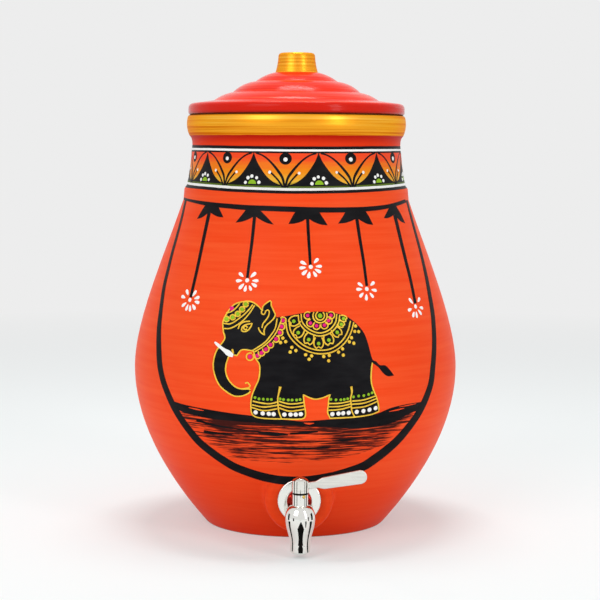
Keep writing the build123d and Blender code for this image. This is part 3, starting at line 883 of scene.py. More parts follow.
@cache
def motif_ring_recipe():
    """A flat motif repeated round the neck and wrapped onto the clay.

    Each source point holds a bearing in X and half the room for its motif in "half_room". The
    motif runs from -1 to 1 in X, 0 to 1 in Y from the band's foot to its top, and its Z is how
    far it stands off the clay.
    """
    recipe = Recipe("motif_ring", ("Motif", "Object", None), ("Clay", "Object", None),
                    ("Band Bottom", "Float", 0.29), ("Band Top", "Float", 0.315),
                    ("Start Radius", "Float", RAY_START),
                    ("Low Stray", "Float", 0.0), ("Low Side Stray", "Float", 0.0),
                    ("High Stray", "Float", 0.0), ("High Side Stray", "Float", 0.0))
    given = recipe.given
    laid = recipe.out("GeometryNodeInstanceOnPoints", {
        "Points": given["Geometry"], "Instance": recipe.shape_of("Motif"),
        "Scale": recipe.vector(recipe.attribute("half_room"), 1.0, 1.0)})
    bearing, up, off = recipe.place()
    across = recipe.math("SINE", bearing)
    along = recipe.math("COSINE", bearing) * -1.0
    aside = across * across
    low, high = (given["Band " + end] + (given[stray + " Stray"]
                                         + given[stray + " Side Stray"] * aside)
                 for end, stray in (("Bottom", "Low"), ("Top", "High")))
    height = up * (high - low) + low
    start = given["Start Radius"]
    hit = recipe.out("GeometryNodeRaycast", {
        "Target Geometry": recipe.shape_of("Clay"), "Ray Length": start,
        "Source Position": recipe.vector(across * start, along * start, height),
        "Ray Direction": recipe.vector(across * -1.0, along * -1.0, 0.0)}, "Hit Position")
    return recipe.finish(recipe.out("GeometryNodeSetPosition", {
        "Geometry": recipe.out("GeometryNodeRealizeInstances", {0: laid}), "Position": hit,
        "Offset": recipe.vector(across * off, along * off, 0.0)}))


BEAD_STEP_PX = 1.6
BEAD_UNEVEN, BEAD_GRAIN = 0.16, 260.0


def cloud_mesh(points, edges=(), **layers):
    """Loose points, each with a value, or a vector, in every layer."""
    cloud = bpy.data.meshes.new("cloud")
    cloud.from_pydata(points, edges, [])
    for name, values in layers.items():
        if isinstance(values[0], Vector):
            layer = cloud.attributes.new(name, "FLOAT_VECTOR", "POINT")
            layer.data.foreach_set("vector", [part for value in values for part in value])
        else:
            layer = cloud.attributes.new(name, "FLOAT", "POINT")
            layer.data.foreach_set("value", values)
    return cloud


def beads(lines, radius, material, lift, place):
    """The mesh of raised lines along smooth curves; a point's third value swells the line."""
    points, edges, swell = [], [], []
    for line in lines:
        start = len(points)
        thick = [p[2] if len(p) > 2 else 1.0 for p in line]
        drawn = curve_through(line, BEAD_STEP_PX)
        for index, spot in enumerate(drawn):
            point, facing = place(*spot)
            points.append(point + facing * lift)
            uneven = 1.0 + BEAD_UNEVEN * noise.noise(points[-1] * BEAD_GRAIN)
            swell.append(partway(thick, index / (len(drawn) - 1)) * uneven)
        edges += [(k, k + 1) for k in range(start, len(points) - 1)]
    return bead_recipe().run(cloud_mesh(points, edges, swell=swell), radius=radius,
                             material=material)


def stamps(spots, material, flatness, slimness=1.0, taper=0.0):
    """The mesh of rounded blobs; a spot is its point, facing, heading and radius."""
    points, facing, heading, size = zip(*spots)
    cloud = cloud_mesh(points, facing=facing, heading=heading, size=size)
    return stamp_recipe().run(cloud, flatness=flatness, slimness=slimness, taper=taper,
                              material=material)


def stamp_spot(point, facing, lift, radius):
    """Where a round stamp lies on the clay."""
    return point + facing * lift, facing, facing.cross(UPWARD).normalized(), radius


def dot_row(eye, dots, radius_px, lift):
    """Stamp spots under a list of pixels; a dot's third value is its own radius."""
    return [stamp_spot(*eye(px, py), lift, (own[0] if own else radius_px) * eye.px_size(px, py))
            for px, py, *own in dots]


# ------------------------------------------------------------------------ ornament by operator

def settings_of(context):
    return tuple(getattr(context.scene, name) for name, _ in SETTINGS)


class JarPiece:
    """What the jar's operators share."""
    bl_options = {"REGISTER", "UNDO"}


class WATERJAR_OT_clay(JarPiece, bpy.types.Operator):
    """Paint the body and the lid"""
    bl_idname = "water_jar.clay"
    bl_label = "Clay Body and Lid"

    def execute(self, context):
        clay = settings_of(context)[0]
        wear(body_clay(clay), "jar_body")
        wear(lid_clay(clay), "lid")
        return {"FINISHED"}


# Roughness of the tap's hidden metals and rubber, and how deep the waves of a polish are.
PLAIN_ROUGHNESS = 0.34
BRASS_ROUGHNESS = 0.22
RUBBER_ROUGHNESS = 0.75
FLAT_WAVE = 0.000005
PLAIN_WAVE = 0.00001


class WATERJAR_OT_tap(JarPiece, bpy.types.Operator):
    """Finish the metals and rubbers of the tap"""
    bl_idname = "water_jar.tap"
    bl_label = "Tap"

    def execute(self, context):
        tap = settings_of(context)[2]
        wear(polished("tap_steel", tap.steel, tap.polish, tap=tap), "tap_body")
        wear(polished("button_steel", tap.steel, tap.polish), "cap_button")
        wear(polished("flange_steel", tap.steel, tap.polish, FLAT_WAVE), "tap_flange")
        wear(brushed_lever("lever_steel", tap), "lever_handle")
        wear(polished("plain_steel", tap.plain, PLAIN_ROUGHNESS, PLAIN_WAVE),
             "lock_nut", "inner_washer", "handle_screw")
        wear(polished("brass", tap.brass, BRASS_ROUGHNESS), "stop_pin", "spindle")
        wear(matt("rubber", tap.rubber, RUBBER_ROUGHNESS), "outer_gasket", "inner_gasket",
             "upper_o_ring", "lower_o_ring")
        return {"FINISHED"}


NECK_WHITE = ((0.3176, 0.3193), (0.2856, 0.2876))
NECK_GREEN = (0.2876, 0.2890)
RING_SEGMENTS = 200
RING_ROW = 0.0007
RING_WANDER = 0.00022
# The stripes' wander, long and short: how often it comes, apart by band, and its share.
RING_WAVES = ((2.2, 4.0, 1.0), (14.0, 9.0, 0.5))
APEX_BEARINGS = (-56.5, -24.3, 9.8, 45.5)
# How far the painter's lines stray from level: at the front, and more towards the sides.
LOW_STRAY = (0.00030, 0.00310)
HIGH_STRAY = (-0.00045, 0.00094)


def strayed(bearing, height, ornament):
    """The height at which the painter's hand drew a line meant for this height."""
    part = (height - ornament.band_bottom) / (ornament.band_top - ornament.band_bottom)
    part = max(0.0, min(1.0, part))
    low, high = (level + side * sin(bearing) ** 2 for level, side in (LOW_STRAY, HIGH_STRAY))
    return height + low * (1.0 - part) + high * part


def ring_mesh(bands, lift, ornament):
    """Closed bands of paint right round the neck, with a hand's slight wander."""
    def wander(bearing, number, end):
        return sum(noise.noise(Vector((cos(bearing) * often, sin(bearing) * often,
                                       apart * number + end))) * RING_WANDER * share_of
                   for often, apart, share_of in RING_WAVES)

    coat = PaintCoat(lift, ornament.key_in)
    for number, (low, high) in enumerate(bands):
        rows = max(1, ceil((high - low) / RING_ROW))
        flat, faces = [], []
        for step in range(RING_SEGMENTS):
            bearing = 2 * pi * step / RING_SEGMENTS
            foot, top = low + wander(bearing, number, 0), high + wander(bearing, number, 1)
            flat += [(bearing, foot * (1 - row / rows) + top * (row / rows))
                     for row in range(rows + 1)]
            first, second = (k % RING_SEGMENTS * (rows + 1) for k in (step, step + 1))
            faces += [(first + row, second + row, second + row + 1, first + row + 1)
                      for row in range(rows)]
        coat.pad(flat, faces, lambda bearing, height: on_ring(
            bearing, strayed(bearing, height, ornament)))
    return coat.mesh()


def leaf_bearings(ornament):
    """Bearings of the tips between the leaf cups: four as painted, the rest evenly."""
    known = [radians(b) for b in APEX_BEARINGS]
    rest = ornament.leaf_count - len(known)
    gap = (2 * pi + known[0] - known[-1]) / (rest + 1)
    return known + [known[-1] + gap * (k + 1) for k in range(rest)]


# The leaf cup's outline and veins: across from -1 to 1 between two tips, up from 0 to 1.
CUP_EDGE = ((-0.99, 1.0), (-0.945, 0.88), (-0.875, 0.73), (-0.70, 0.47), (-0.54, 0.28),
            (-0.34, 0.13), (-0.12, 0.036), (0.0, 0.0))
CUP_VEIN = ((-0.93, 1.0), (-0.75, 0.945), (-0.57, 0.836), (-0.39, 0.67), (-0.21, 0.455),
            (-0.08, 0.255), (-0.01, -0.03))
CUP_STAMENS = (((-0.06, -0.03), (-0.22, 0.20), (-0.44, 0.42)),
               ((0.06, -0.03), (0.18, 0.17), (0.36, 0.38)))
VEIN_WIDTHS = (0.0013, 0.0013, 0.0015, 0.0019, 0.0022, 0.0019, 0.0013)
STAMEN_WIDTHS = (0.0016, 0.0014, 0.0015)
CUP_EYE = (0.0, 0.835)
# White specks on each cup: place and radius.
CUP_SPECKS = ((0.0, 0.81, 0.00175), (-0.47, 0.42, 0.00120), (0.41, 0.40, 0.00120))
DOME_FOOT = 0.055
DOME_SPECKS = (177, 132, 96, 52, 8)
EYE_RADIUS = 0.0049
EYE_SIDES = 36
EYE_OVER = 0.0006
DOME_RADIUS = 0.0035
DOME_SIDES = 14
HALF_ROOM = 0.026
# How fine the cups are drawn: steps along a line, points inside a shape and along its top.
CUP_STEP = 0.0012
CUP_FILL, DOME_FILL = 0.0016, 0.0014
CUP_TOP_PIECES = 24
# White specks over each dome: their radius, and half the width and the height of their arc.
DOME_SPECK = 0.00145
SPECK_ARC = (0.006, 0.0058)
SPECK_ARC_LIFT = 0.0006
SPECK_UNEVEN = 0.22
SPECK_GRAIN = (9.0, 900.0)


def neck_motifs(ornament):
    """Leaf cup, its veins and the dome between two cups, drawn flat in the room each has."""
    tall = ornament.band_top - ornament.band_bottom

    def real(points):
        return [(u * HALF_ROOM, v * tall) for u, v in points]

    def mirrored(points):
        return [(-u, v) for u, v in reversed(points)]

    def own_room(x, y):
        return Vector((x / HALF_ROOM, y / tall, 0.0)), UPWARD

    edge = curve_through(real(CUP_EDGE), CUP_STEP)
    outline = edge + [Vector((-p.x, p.y)) for p in reversed(edge[:-1])]
    left, right = outline[-1].x, outline[0].x
    outline += [Vector((left * (1 - k / CUP_TOP_PIECES) + right * k / CUP_TOP_PIECES, tall))
                for k in range(1, CUP_TOP_PIECES)]
    cup = PaintCoat(ornament.second_coat, ornament.key_in)
    cup.pad(*fill_outline(outline, CUP_FILL), own_room)

    veins = PaintCoat(ornament.third_coat, ornament.key_in)
    for line, widths in ((CUP_VEIN, VEIN_WIDTHS), (mirrored(CUP_VEIN), VEIN_WIDTHS[::-1]),
                         (CUP_STAMENS[0], STAMEN_WIDTHS), (CUP_STAMENS[1], STAMEN_WIDTHS)):
        veins.stroke(real(line), widths, own_room, CUP_STEP)
    turns = [2 * pi * k / EYE_SIDES for k in range(EYE_SIDES)]
    eye = [(CUP_EYE[0] * HALF_ROOM + EYE_RADIUS * cos(turn),
            min(CUP_EYE[1] * tall + EYE_RADIUS * sin(turn), tall + EYE_OVER))
           for turn in turns]
    veins.pad(*fill_outline(eye, CUP_FILL), own_room)

    turns = [pi * k / DOME_SIDES for k in range(DOME_SIDES + 1)]
    half_round = [(DOME_RADIUS * cos(turn), DOME_FOOT * tall + DOME_RADIUS * sin(turn))
                  for turn in turns]
    dome = PaintCoat(ornament.second_coat, ornament.key_in)
    dome.pad(*fill_outline(half_round, DOME_FILL), own_room)
    return cup, veins, dome


def ring_of(motif, spots, material, ornament):
    """The mesh of a motif repeated round the neck; a spot is a bearing and half the room."""
    drawn = bpy.data.objects.new("motif", motif.mesh())
    cloud = cloud_mesh([(bearing, 0.0, 0.0) for bearing, _ in spots],
                       half_room=[room for _, room in spots])
    mesh = motif_ring_recipe().run(
        cloud, motif=drawn, clay=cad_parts["jar_body"], material=material,
        band_bottom=ornament.band_bottom, band_top=ornament.band_top,
        low_stray=LOW_STRAY[0], low_side_stray=LOW_STRAY[1],
        high_stray=HIGH_STRAY[0], high_side_stray=HIGH_STRAY[1])
    bpy.data.objects.remove(drawn)
    return mesh


def neck_specks(cup_spots, dome_spots, ornament):
    """Stamp spots of the white specks on the cups and in an arc over each dome."""
    foot, tall = ornament.band_bottom, ornament.band_top - ornament.band_bottom

    def speck(bearing, height, radius):
        at = Vector((bearing * SPECK_GRAIN[0], height * SPECK_GRAIN[1], 2.0))
        return stamp_spot(*on_ring(bearing, strayed(bearing, height, ornament)),
                          ornament.second_coat,
                          radius * (1.0 + SPECK_UNEVEN * noise.noise(at)))

    specks = [speck(bearing + u * room, foot + v * tall, radius)
              for bearing, room in cup_spots for u, v, radius in CUP_SPECKS]
    for bearing, _ in dome_spots:
        specks += [speck(bearing + SPECK_ARC[0] * cos(turn) / wall_radius(foot),
                         foot + DOME_FOOT * tall + SPECK_ARC[1] * sin(turn) + SPECK_ARC_LIFT,
                         DOME_SPECK)
                   for turn in map(radians, DOME_SPECKS)]
    return specks


class WATERJAR_OT_neck(JarPiece, bpy.types.Operator):
    """Paint the stripes and the band of leaf cups round the neck"""
    bl_idname = "water_jar.neck"
    bl_label = "Neck Bands"

    def execute(self, context):
        ornament = settings_of(context)[1]
        black = enamel("neck_black", ornament.black, ornament.gloss)
        white = enamel("neck_white", ornament.white, ornament.gloss, drift=0.0)
        green = enamel("neck_green", ornament.green, ornament.gloss, drift=0.7)
        lime = enamel("neck_lime", ornament.lime, ornament.gloss, drift=0.2)
        for name, bands, lift, paint in (
                ("neck_black_ground", (NECK_BLACK,), ornament.coat, black),
                ("neck_white_stripes", NECK_WHITE, ornament.second_coat, white),
                ("neck_green_stripe", (NECK_GREEN,), ornament.second_coat, green)):
            settle(name, ring_mesh(bands, lift, ornament), paint)

        tips = leaf_bearings(ornament)
        following = tips[1:] + [tips[0] + 2 * pi]
        cup_spots = [((a + b) / 2, (b - a) / 2) for a, b in zip(tips, following)]
        dome_room = HALF_ROOM / wall_radius(ornament.band_bottom)
        dome_spots = [(tip, dome_room) for tip in tips]
        cup, veins, dome = neck_motifs(ornament)
        for name, motif, spots, paint in (
                ("neck_leaf_cups", cup, cup_spots, leaf_enamel(ornament)),
                ("neck_leaf_veins", veins, cup_spots, black),
                ("neck_leaf_domes", dome, dome_spots, lime)):
            settle(name, ring_of(motif, spots, paint, ornament), paint)
        specks = neck_specks(cup_spots, dome_spots, ornament)
        settle("neck_white_dots", stamps(specks, white, ornament.dot_height), white)
        return {"FINISHED"}


SHOULDER_LINE = ((184.2, 198.5), (187.3, 199.8), (201.3, 202.8), (213, 204.6), (232.5, 206.5),
                 (248, 207.7), (271.4, 208.6), (294.7, 209.4), (324.4, 210.0), (344, 209.9),
                 (364.5, 209.2), (384.7, 207.05), (397.6, 203.8), (405.4, 200.9))
SHOULDER_WIDTHS = (2.2, 4.4, 5.0, 5.2, 5.3, 5.2, 5.0, 4.4, 3.4)
# Each pair of leaves: left foot, left tip, notch, right tip, right foot.
LEAF_PAIRS = (
    ((206.0, 204.2), (197.1, 219.0), (209.1, 211.7), (223.4, 217.3), (216.9, 205.4)),
    ((248.4, 208.0), (235.6, 222.6), (254.7, 215.9), (273.7, 224.6), (257.0, 208.4)),
    ((296.5, 209.8), (288.5, 224.0), (307.6, 218.7), (327.6, 225.3), (316.7, 210.2)),
    ((347.7, 210.0), (338.2, 223.6), (357.2, 218.1), (373.1, 224.9), (364.5, 209.6)),
    ((390.3, 206.4), (383.8, 218.1), (394.2, 214.4), (405.2, 223.4), (395.5, 205.2)),
)
STEMS = (
    ((209.4, 211.8), (203.2, 240.9), (196.9, 270.6), (190.7, 297.4)),
    ((254.7, 215.4), (252.2, 240.0), (249.6, 260.0), (247.3, 278.0)),
    ((307.6, 218.0), (308.4, 234.0), (309.4, 250.0), (310.4, 265.4)),
    ((356.6, 217.4), (360.0, 240.0), (363.6, 262.0), (366.8, 286.0)),
    ((394.6, 214.6), (405.3, 259.0), (410.5, 279.9), (415.3, 303.5)),
)
STEM_WIDTHS = (3.3, 3.1, 2.9, 2.7)
FLOWER_HEARTS = ((190.0, 300.0), (247.2, 280.4), (310.7, 266.9), (366.7, 289.0), (415.4, 306.6))
# The way each petal points, in degrees anticlockwise as seen, and the flower's width.
FLOWER_PETALS = (
    ((112, 158, 213, 245, 270, 302, 345, 15, 52), 0.86),
    ((137, 182, 225, 257, 292, 327, 358, 42), 0.98),
    ((152, 186, 222, 258, 301, 332, 4, 48), 0.98),
    ((148, 182, 226, 268, 312, 352, 40), 0.90),
    ((138, 202, 252, 282, 318, 352, 55), 0.72),
)
# Points between those of a leaf, each as a part of the way and how far it sags in px: up the
# left side, over the top to the notch and out of it again, and down the right side.
LEAF_BENDS = (((0.5, -0.5),), ((0.35, 1.3), (0.7, 1.2)), ((0.3, 1.2), (0.65, 1.5)),
              ((0.5, -1.0),))
LEAF_STEP_PX, LEAF_FILL_PX = 1.6, 3.0
STROKE_STEP_PX = 3.0
STEM_COAT_SHARE = 0.8
PETAL_MIDDLE_PX = 8.3
PETAL_HALF_PX = 3.5
PETAL_UNEVEN, PETAL_GRAIN = 0.18, 0.37
PETAL_FLATNESS, PETAL_SLIMNESS, PETAL_TAPER = 0.14, 0.47, 0.42
HEART_PX = 2.2


def leaf_outline(points):
    """A pair of leaves, with the bends between its points."""
    outline = [points[0]]
    for a, b, bends in zip(points, points[1:], LEAF_BENDS):
        outline += [(a[0] + (b[0] - a[0]) * part, a[1] + (b[1] - a[1]) * part + sag)
                    for part, sag in bends]
        outline.append(b)
    return outline


class WATERJAR_OT_shoulder(JarPiece, bpy.types.Operator):
    """Paint the shoulder line, its leaves and the flowers hanging from it"""
    bl_idname = "water_jar.shoulder"
    bl_label = "Shoulder Leaves and Flowers"

    def execute(self, context):
        _, ornament, _, studio = settings_of(context)
        eye = PhotoEye(studio)
        black = enamel("shoulder_black", ornament.black, ornament.gloss)
        white = enamel("flower_white", ornament.white, ornament.gloss, drift=0.0)
        line = PaintCoat(ornament.second_coat, ornament.key_in)
        line.stroke(SHOULDER_LINE, SHOULDER_WIDTHS, eye, STROKE_STEP_PX)
        settle("shoulder_line", line.mesh(), black)
        leaves = PaintCoat(ornament.coat, ornament.key_in)
        for points in LEAF_PAIRS:
            leaves.shape(leaf_outline(points), eye, LEAF_STEP_PX, LEAF_FILL_PX)
        settle("shoulder_leaves", leaves.mesh(), black)
        stems = PaintCoat(ornament.coat * STEM_COAT_SHARE, ornament.key_in)
        for stem in STEMS:
            stems.stroke(stem, STEM_WIDTHS, eye, STROKE_STEP_PX)
        settle("flower_stems", stems.mesh(), black)
        petals = []
        for (px, py), (ways, width) in zip(FLOWER_HEARTS, FLOWER_PETALS):
            heart = eye(px, py)[0]
            for way in map(radians, ways):
                x = px + PETAL_MIDDLE_PX * width * cos(way)
                y = py - PETAL_MIDDLE_PX * sin(way)
                point, facing = eye(x, y)
                uneven = 1.0 + PETAL_UNEVEN * noise.noise(Vector((x, y, 0.0)) * PETAL_GRAIN)
                petals.append((point, facing, (point - heart).normalized(),
                               PETAL_HALF_PX * eye.px_size(x, y) * uneven))
        settle("flower_petals", stamps(petals, white, PETAL_FLATNESS, PETAL_SLIMNESS,
                                       PETAL_TAPER), white)
        hearts = dot_row(eye, FLOWER_HEARTS, HEART_PX, ornament.coat)
        settle("flower_hearts", stamps(hearts, white, ornament.dot_height), white)
        return {"FINISHED"}


PANEL_LEFT = ((185.9, 199.8), (182.1, 217.0), (176.8, 237.1), (172.5, 252.4), (168.2, 269.6),
              (164.4, 285.9), (162.2, 300.3), (160.1, 317.5), (159.1, 329), (158.9, 345),
              (159.9, 364.7), (162.9, 379.5), (167.8, 393.3), (173.7, 406.2), (180.7, 418.1),
              (189.6, 430.4), (199.4, 441.8), (211.3, 451.7), (223.2, 460.1), (235.0, 467.0),
              (248.9, 472.4), (261.7, 476.4), (276.6, 479.6), (290.4, 480.6), (304.0, 480.6),
              (320.0, 478.6), (334.0, 475.9))
PANEL_LEFT_WIDTHS = (1.7, 1.9, 2.2, 2.5, 2.9, 3.3, 4.2, 4.9, 5.1, 5.4, 6.0, 6.6, 7.0, 7.3, 7.6,
                     8.2, 8.4, 8.4, 8.2)
PANEL_RIGHT = ((406.6, 200.2), (411.8, 219.8), (416.4, 236.8), (420.3, 251.2), (425.5, 273.4),
               (429.4, 294.3), (432.7, 315.2), (434.0, 336.1), (433.9, 351.8), (432.7, 367.5),
               (430.8, 383.1), (425.7, 398.4), (418.6, 412.7), (409.4, 425.9), (398.2, 439.2),
               (385.9, 450.4), (373.7, 459.6), (363.5, 466.2), (349.0, 471.6), (334.0, 475.9))
PANEL_RIGHT_WIDTHS = (1.6, 1.9, 2.2, 2.6, 3.2, 3.7, 4.0, 4.3, 4.8, 5.4, 6.2, 7.0, 7.8, 8.5, 8.5,
                      8.2)
GROUND_TOP = ((170.5, 400.2), (184.6, 404.7), (209.3, 409.7), (234.0, 413.6), (250.9, 415.6),
              (270.0, 418.4), (290, 420.3), (303.3, 421.3), (330.8, 419.3), (353.3, 417.8),
              (376.7, 413.7), (392.0, 407.6), (408.0, 404.0), (424.5, 401.4))
GROUND_LOW = ((423.0, 405.4), (416.0, 410.4), (407.3, 414.7), (395.0, 420.5), (381.8, 425.4),
              (361.4, 428.0), (345.0, 427.8), (330.8, 426.9), (312.0, 426.4), (296.0, 425.6),
              (276.0, 424.6), (258.8, 423), (234.0, 421), (209.3, 418.4), (193.0, 414.8),
              (179.7, 410.4), (174.0, 406.0))
BRUSHED_LOW = ((417.0, 409.0), (412.4, 417.7), (402.2, 431), (392.0, 441.2), (376.7, 447.3),
               (351.2, 455.9), (320.6, 460.0), (298.3, 463.1), (268.0, 462.6), (239.0, 459.6),
               (210.0, 450.5), (198.0, 436.9), (188.5, 426.0), (178.5, 411.6))
BRUSHED_HIGH = ((193.0, 412.4), (209.3, 415.6), (234.0, 418.6), (258.8, 420.8), (276.0, 422.4),
                (296.0, 423.4), (312.0, 424.2), (330.8, 424.6), (345.0, 425.4), (361.4, 425.6),
                (381.8, 423.0), (395.0, 418.2), (407.3, 412.4))
GROUND_DASHES = (
    (((258.0, 432.2), (272.0, 433.6), (288.0, 434.6)), (1.0, 3.6, 3.4, 1.2)),
    (((196.5, 420.0), (214.0, 425.0), (238.0, 429.0), (262.0, 432.0)), (2.6, 1.6, 1.2, 0.6)),
    (((290.0, 433.6), (306.0, 432.6), (318.0, 431.6)), (1.4, 2.6, 1.0)),
    (((204.0, 431.4), (216.0, 433.0), (232.0, 434.4)), (2.8, 2.2, 0.6)),
    (((292.0, 447.6), (306.0, 448.4), (322.0, 447.4), (340.0, 446.4)), (0.8, 2.0, 1.6, 0.6)),
    (((332.0, 440.6), (346.0, 440.0), (356.0, 438.4)), (0.8, 2.2, 0.8)),
    (((372.0, 425.6), (386.0, 423.6), (402.0, 418.6)), (0.8, 2.2, 0.8)),
)
# Thin slits where the clay's orange shows between the ground's strokes.
GROUND_SLITS = (
    (((189.0, 407.4), (197.0, 409.2), (204.0, 410.6)), (0.5, 1.5, 0.4)),
    (((389.0, 411.4), (397.0, 409.8), (404.0, 408.0)), (0.4, 1.4, 0.5)),
    (((399.0, 406.8), (408.0, 405.2), (416.0, 403.4)), (0.3, 1.1, 0.4)),
    (((304.0, 422.8), (309.0, 423.6), (314.0, 423.0)), (0.6, 2.0, 0.5)),
)
PANEL_STEP_PX, PANEL_COLUMNS = 1.2, 6
GROUND_FILL_PX = 3.5
GROUND_COAT_SHARE = 1.5


class WATERJAR_OT_panel(JarPiece, bpy.types.Operator):
    """Paint the line round the picture and the brushed ground the elephant stands on"""
    bl_idname = "water_jar.panel"
    bl_label = "Panel Line and Ground"

    def execute(self, context):
        clay, ornament, _, studio = settings_of(context)
        eye = PhotoEye(studio)
        black = enamel("panel_black", ornament.black, ornament.gloss)
        line = PaintCoat(ornament.second_coat, ornament.key_in)
        for side, widths in ((PANEL_LEFT, PANEL_LEFT_WIDTHS), (PANEL_RIGHT, PANEL_RIGHT_WIDTHS)):
            line.stroke(side, widths, eye, PANEL_STEP_PX, PANEL_COLUMNS)
        settle("panel_line", line.mesh(), black)
        brushed = PaintCoat(ornament.coat, ornament.key_in)
        brushed.shape(BRUSHED_HIGH + BRUSHED_LOW, eye, STROKE_STEP_PX, GROUND_FILL_PX)
        settle("dry_brushed_ground", brushed.mesh(), dry_brush(clay, ornament))
        ground = PaintCoat(ornament.coat * GROUND_COAT_SHARE, ornament.key_in)
        ground.shape(GROUND_TOP + GROUND_LOW, eye, STROKE_STEP_PX, GROUND_FILL_PX)
        for dash, widths in GROUND_DASHES:
            ground.stroke(dash, widths, eye, STROKE_STEP_PX)
        settle("black_ground", ground.mesh(), black)
        slits = PaintCoat(ornament.third_coat, ornament.key_in)
        for slit, widths in GROUND_SLITS:
            slits.stroke(slit, widths, eye, STROKE_STEP_PX)
        settle("ground_slits", slits.mesh(), enamel("slit_orange", clay.paint, ornament.gloss))
        return {"FINISHED"}


# The elephant's outline in runs, clockwise from the front of the head.
HEAD_RUN = ((223.6, 332.1), (223.0, 324.4), (223.6, 320.6), (227.4, 313), (234.4, 304.7),
            (244.6, 301.5), (252.3, 302.1), (258.7, 306.6), (262.5, 311))
EAR_RUN = ((262.5, 311), (262.9, 306.8), (266.2, 303.4), (270.2, 300.8), (271.3, 302.0),
           (271.3, 305.2), (272.8, 308.8), (275.3, 314.2))
BACK_RUN = ((275.3, 314.2), (276.5, 317.4), (286.7, 316.1), (296.9, 314.2), (308.4, 312.3),
            (321.2, 311.7), (333.9, 313), (346.7, 316.8), (355.6, 323.2), (363.3, 332.1),
            (367.1, 341), (369.6, 349.9), (372.8, 360.2))
TAIL_RUN = ((372.8, 360.2), (376, 361.4), (379.8, 365.2), (385, 365.3), (390.1, 370.4),
            (393.9, 375.5), (387.5, 376.1), (382.4, 372.3), (378.6, 367.4), (372.2, 362.7))
RUMP_RUN = ((372.2, 362.7), (371.6, 366.5), (370.9, 376.7), (371.6, 384.4), (374.1, 392),
            (376.7, 398.4), (378.6, 407.3), (378.6, 411.2), (370.9, 414.4), (354.3, 416.9),
            (330.1, 418.2), (327.6, 412.4), (328.2, 404.8), (328.8, 398.4), (330.1, 394.6),
            (322.4, 397.8), (314.8, 399.1), (308.4, 397.1), (303.3, 394.6), (304, 402.2),
            (305.2, 409.9), (305.2, 416.3), (302, 418.8), (281.6, 418.8), (263.8, 418.2),
            (254.8, 416.3), (251.7, 412.4), (251, 404.8), (251.7, 397.1), (254.8, 388.2),
            (258.7, 379.3), (259.9, 370.4), (259.3, 364), (256.1, 358.9), (253.6, 351.2))
CHIN_RUN = ((253.6, 351.2), (251, 350.6), (242.1, 349.9), (238.3, 353.8), (237, 355.7),
            (234.4, 355.1))
TRUNK_INNER_RUN = ((229.5, 356.4), (228.7, 357), (226.1, 365.3), (226.1, 372.9),
                   (229.3, 380.6), (235.7, 386.9), (242.1, 388.9), (249.1, 388.9),
                   (250.4, 390.1))
TRUNK_OUTER_RUN = ((250.6, 391.2), (248.5, 393.3), (242.1, 395.9), (234.4, 395.9),
                   (225.5, 390.8), (219.1, 384.4), (214.7, 374.2), (213.4, 364),
                   (215.9, 352.5), (219.8, 346.1), (224.9, 338.5), (223.6, 332.1))
TRUNK_CURL = ((242, 388.9), (249.1, 387.4), (250.4, 385.7), (247.8, 382.5), (245.3, 383.1))
TUSK = ((215.2, 342.2), (215.9, 342.9), (217.0, 343.9), (221.0, 347.4), (227.0, 351.9),
        (230.6, 354.4), (232.2, 355.3), (233.3, 355.8))
TUSK_WIDTHS = (1.6, 2.7, 2.9, 2.9, 3.6, 5.4, 5.2, 3.0)
EAR_CURLS = (
    ((261.7, 311.2), (261.6, 313.0), (262.6, 314.3), (264.1, 314.6), (265.2, 313.0),
     (266.1, 310.9), (267.8, 310.0), (269.2, 311.2), (269.2, 314.0), (268.0, 317.2),
     (265.4, 320.9), (263.0, 323.9), (262.1, 328.0)),
    ((258.6, 327.6), (259.4, 330.4), (261.8, 333.3), (264.7, 335.0), (264.1, 331.9),
     (264.8, 328.2), (267.2, 324.8), (270.7, 321.8), (273.8, 318.6), (275.0, 316.4),
     (275.3, 314.2)),
)
EYE_LINES = (
    ((238.2, 329.0), (240.3, 324.4), (244.4, 321.9), (250.2, 321.3)),
    ((241.6, 330.6), (242.5, 327.3), (245.4, 325.0), (252.4, 323.5), (250.8, 327.0),
     (247.8, 330.6), (244.2, 331.7), (241.9, 330.9)),
)
CAP_ARCS = (
    ((223.6, 323.4), (230.6, 323.8), (240.8, 317.4), (248.5, 310.4), (252.9, 304.7)),
    ((224.2, 328.6), (229.6, 328.6), (236.4, 325.6), (243.6, 320.2), (249.6, 313.4),
     (254.8, 305.4)),
    ((226.6, 312.8), (230.8, 312.0), (235.8, 308.4), (240.0, 303.4)),
)
CAP_GREEN = ((226.8, 319.1, 2.5), (232.9, 317.4), (238.0, 314.0), (242.3, 309.4),
             (245.9, 304.3))
COLLAR_LINES = (
    ((277.2, 318.7), (275.3, 328.3), (271.4, 334.6), (265.1, 342.3), (252.9, 350.6)),
    ((282.0, 318.6), (280.4, 323), (276.5, 332.1), (271.4, 339.2), (263.8, 346.1),
     (254.8, 351.9)),
)
COLLAR_PINK = ((282.9, 320.4), (281.6, 326.7), (279.7, 332.7), (276.1, 339.1), (270.5, 344.8),
               (265.9, 349.3), (261.6, 352.8), (257.4, 355.7))
PENDANT = (250.1, 356.7)
SADDLE_OUTER = ((285.5, 320.4), (288, 333.4), (294.4, 342.3), (304.6, 349.9), (318.6, 353.8),
                (332.7, 351.9), (344.1, 343.6), (350.5, 333.4), (353.7, 322.4))
SADDLE_INNER = ((298.2, 314.9), (299.5, 323.2), (305.9, 330.8), (314.8, 335.3),
                (322.4, 335.9), (331.4, 332.1), (337.8, 324.4), (339.7, 315.0))
SADDLE_HEART = (318.0, 309.0)
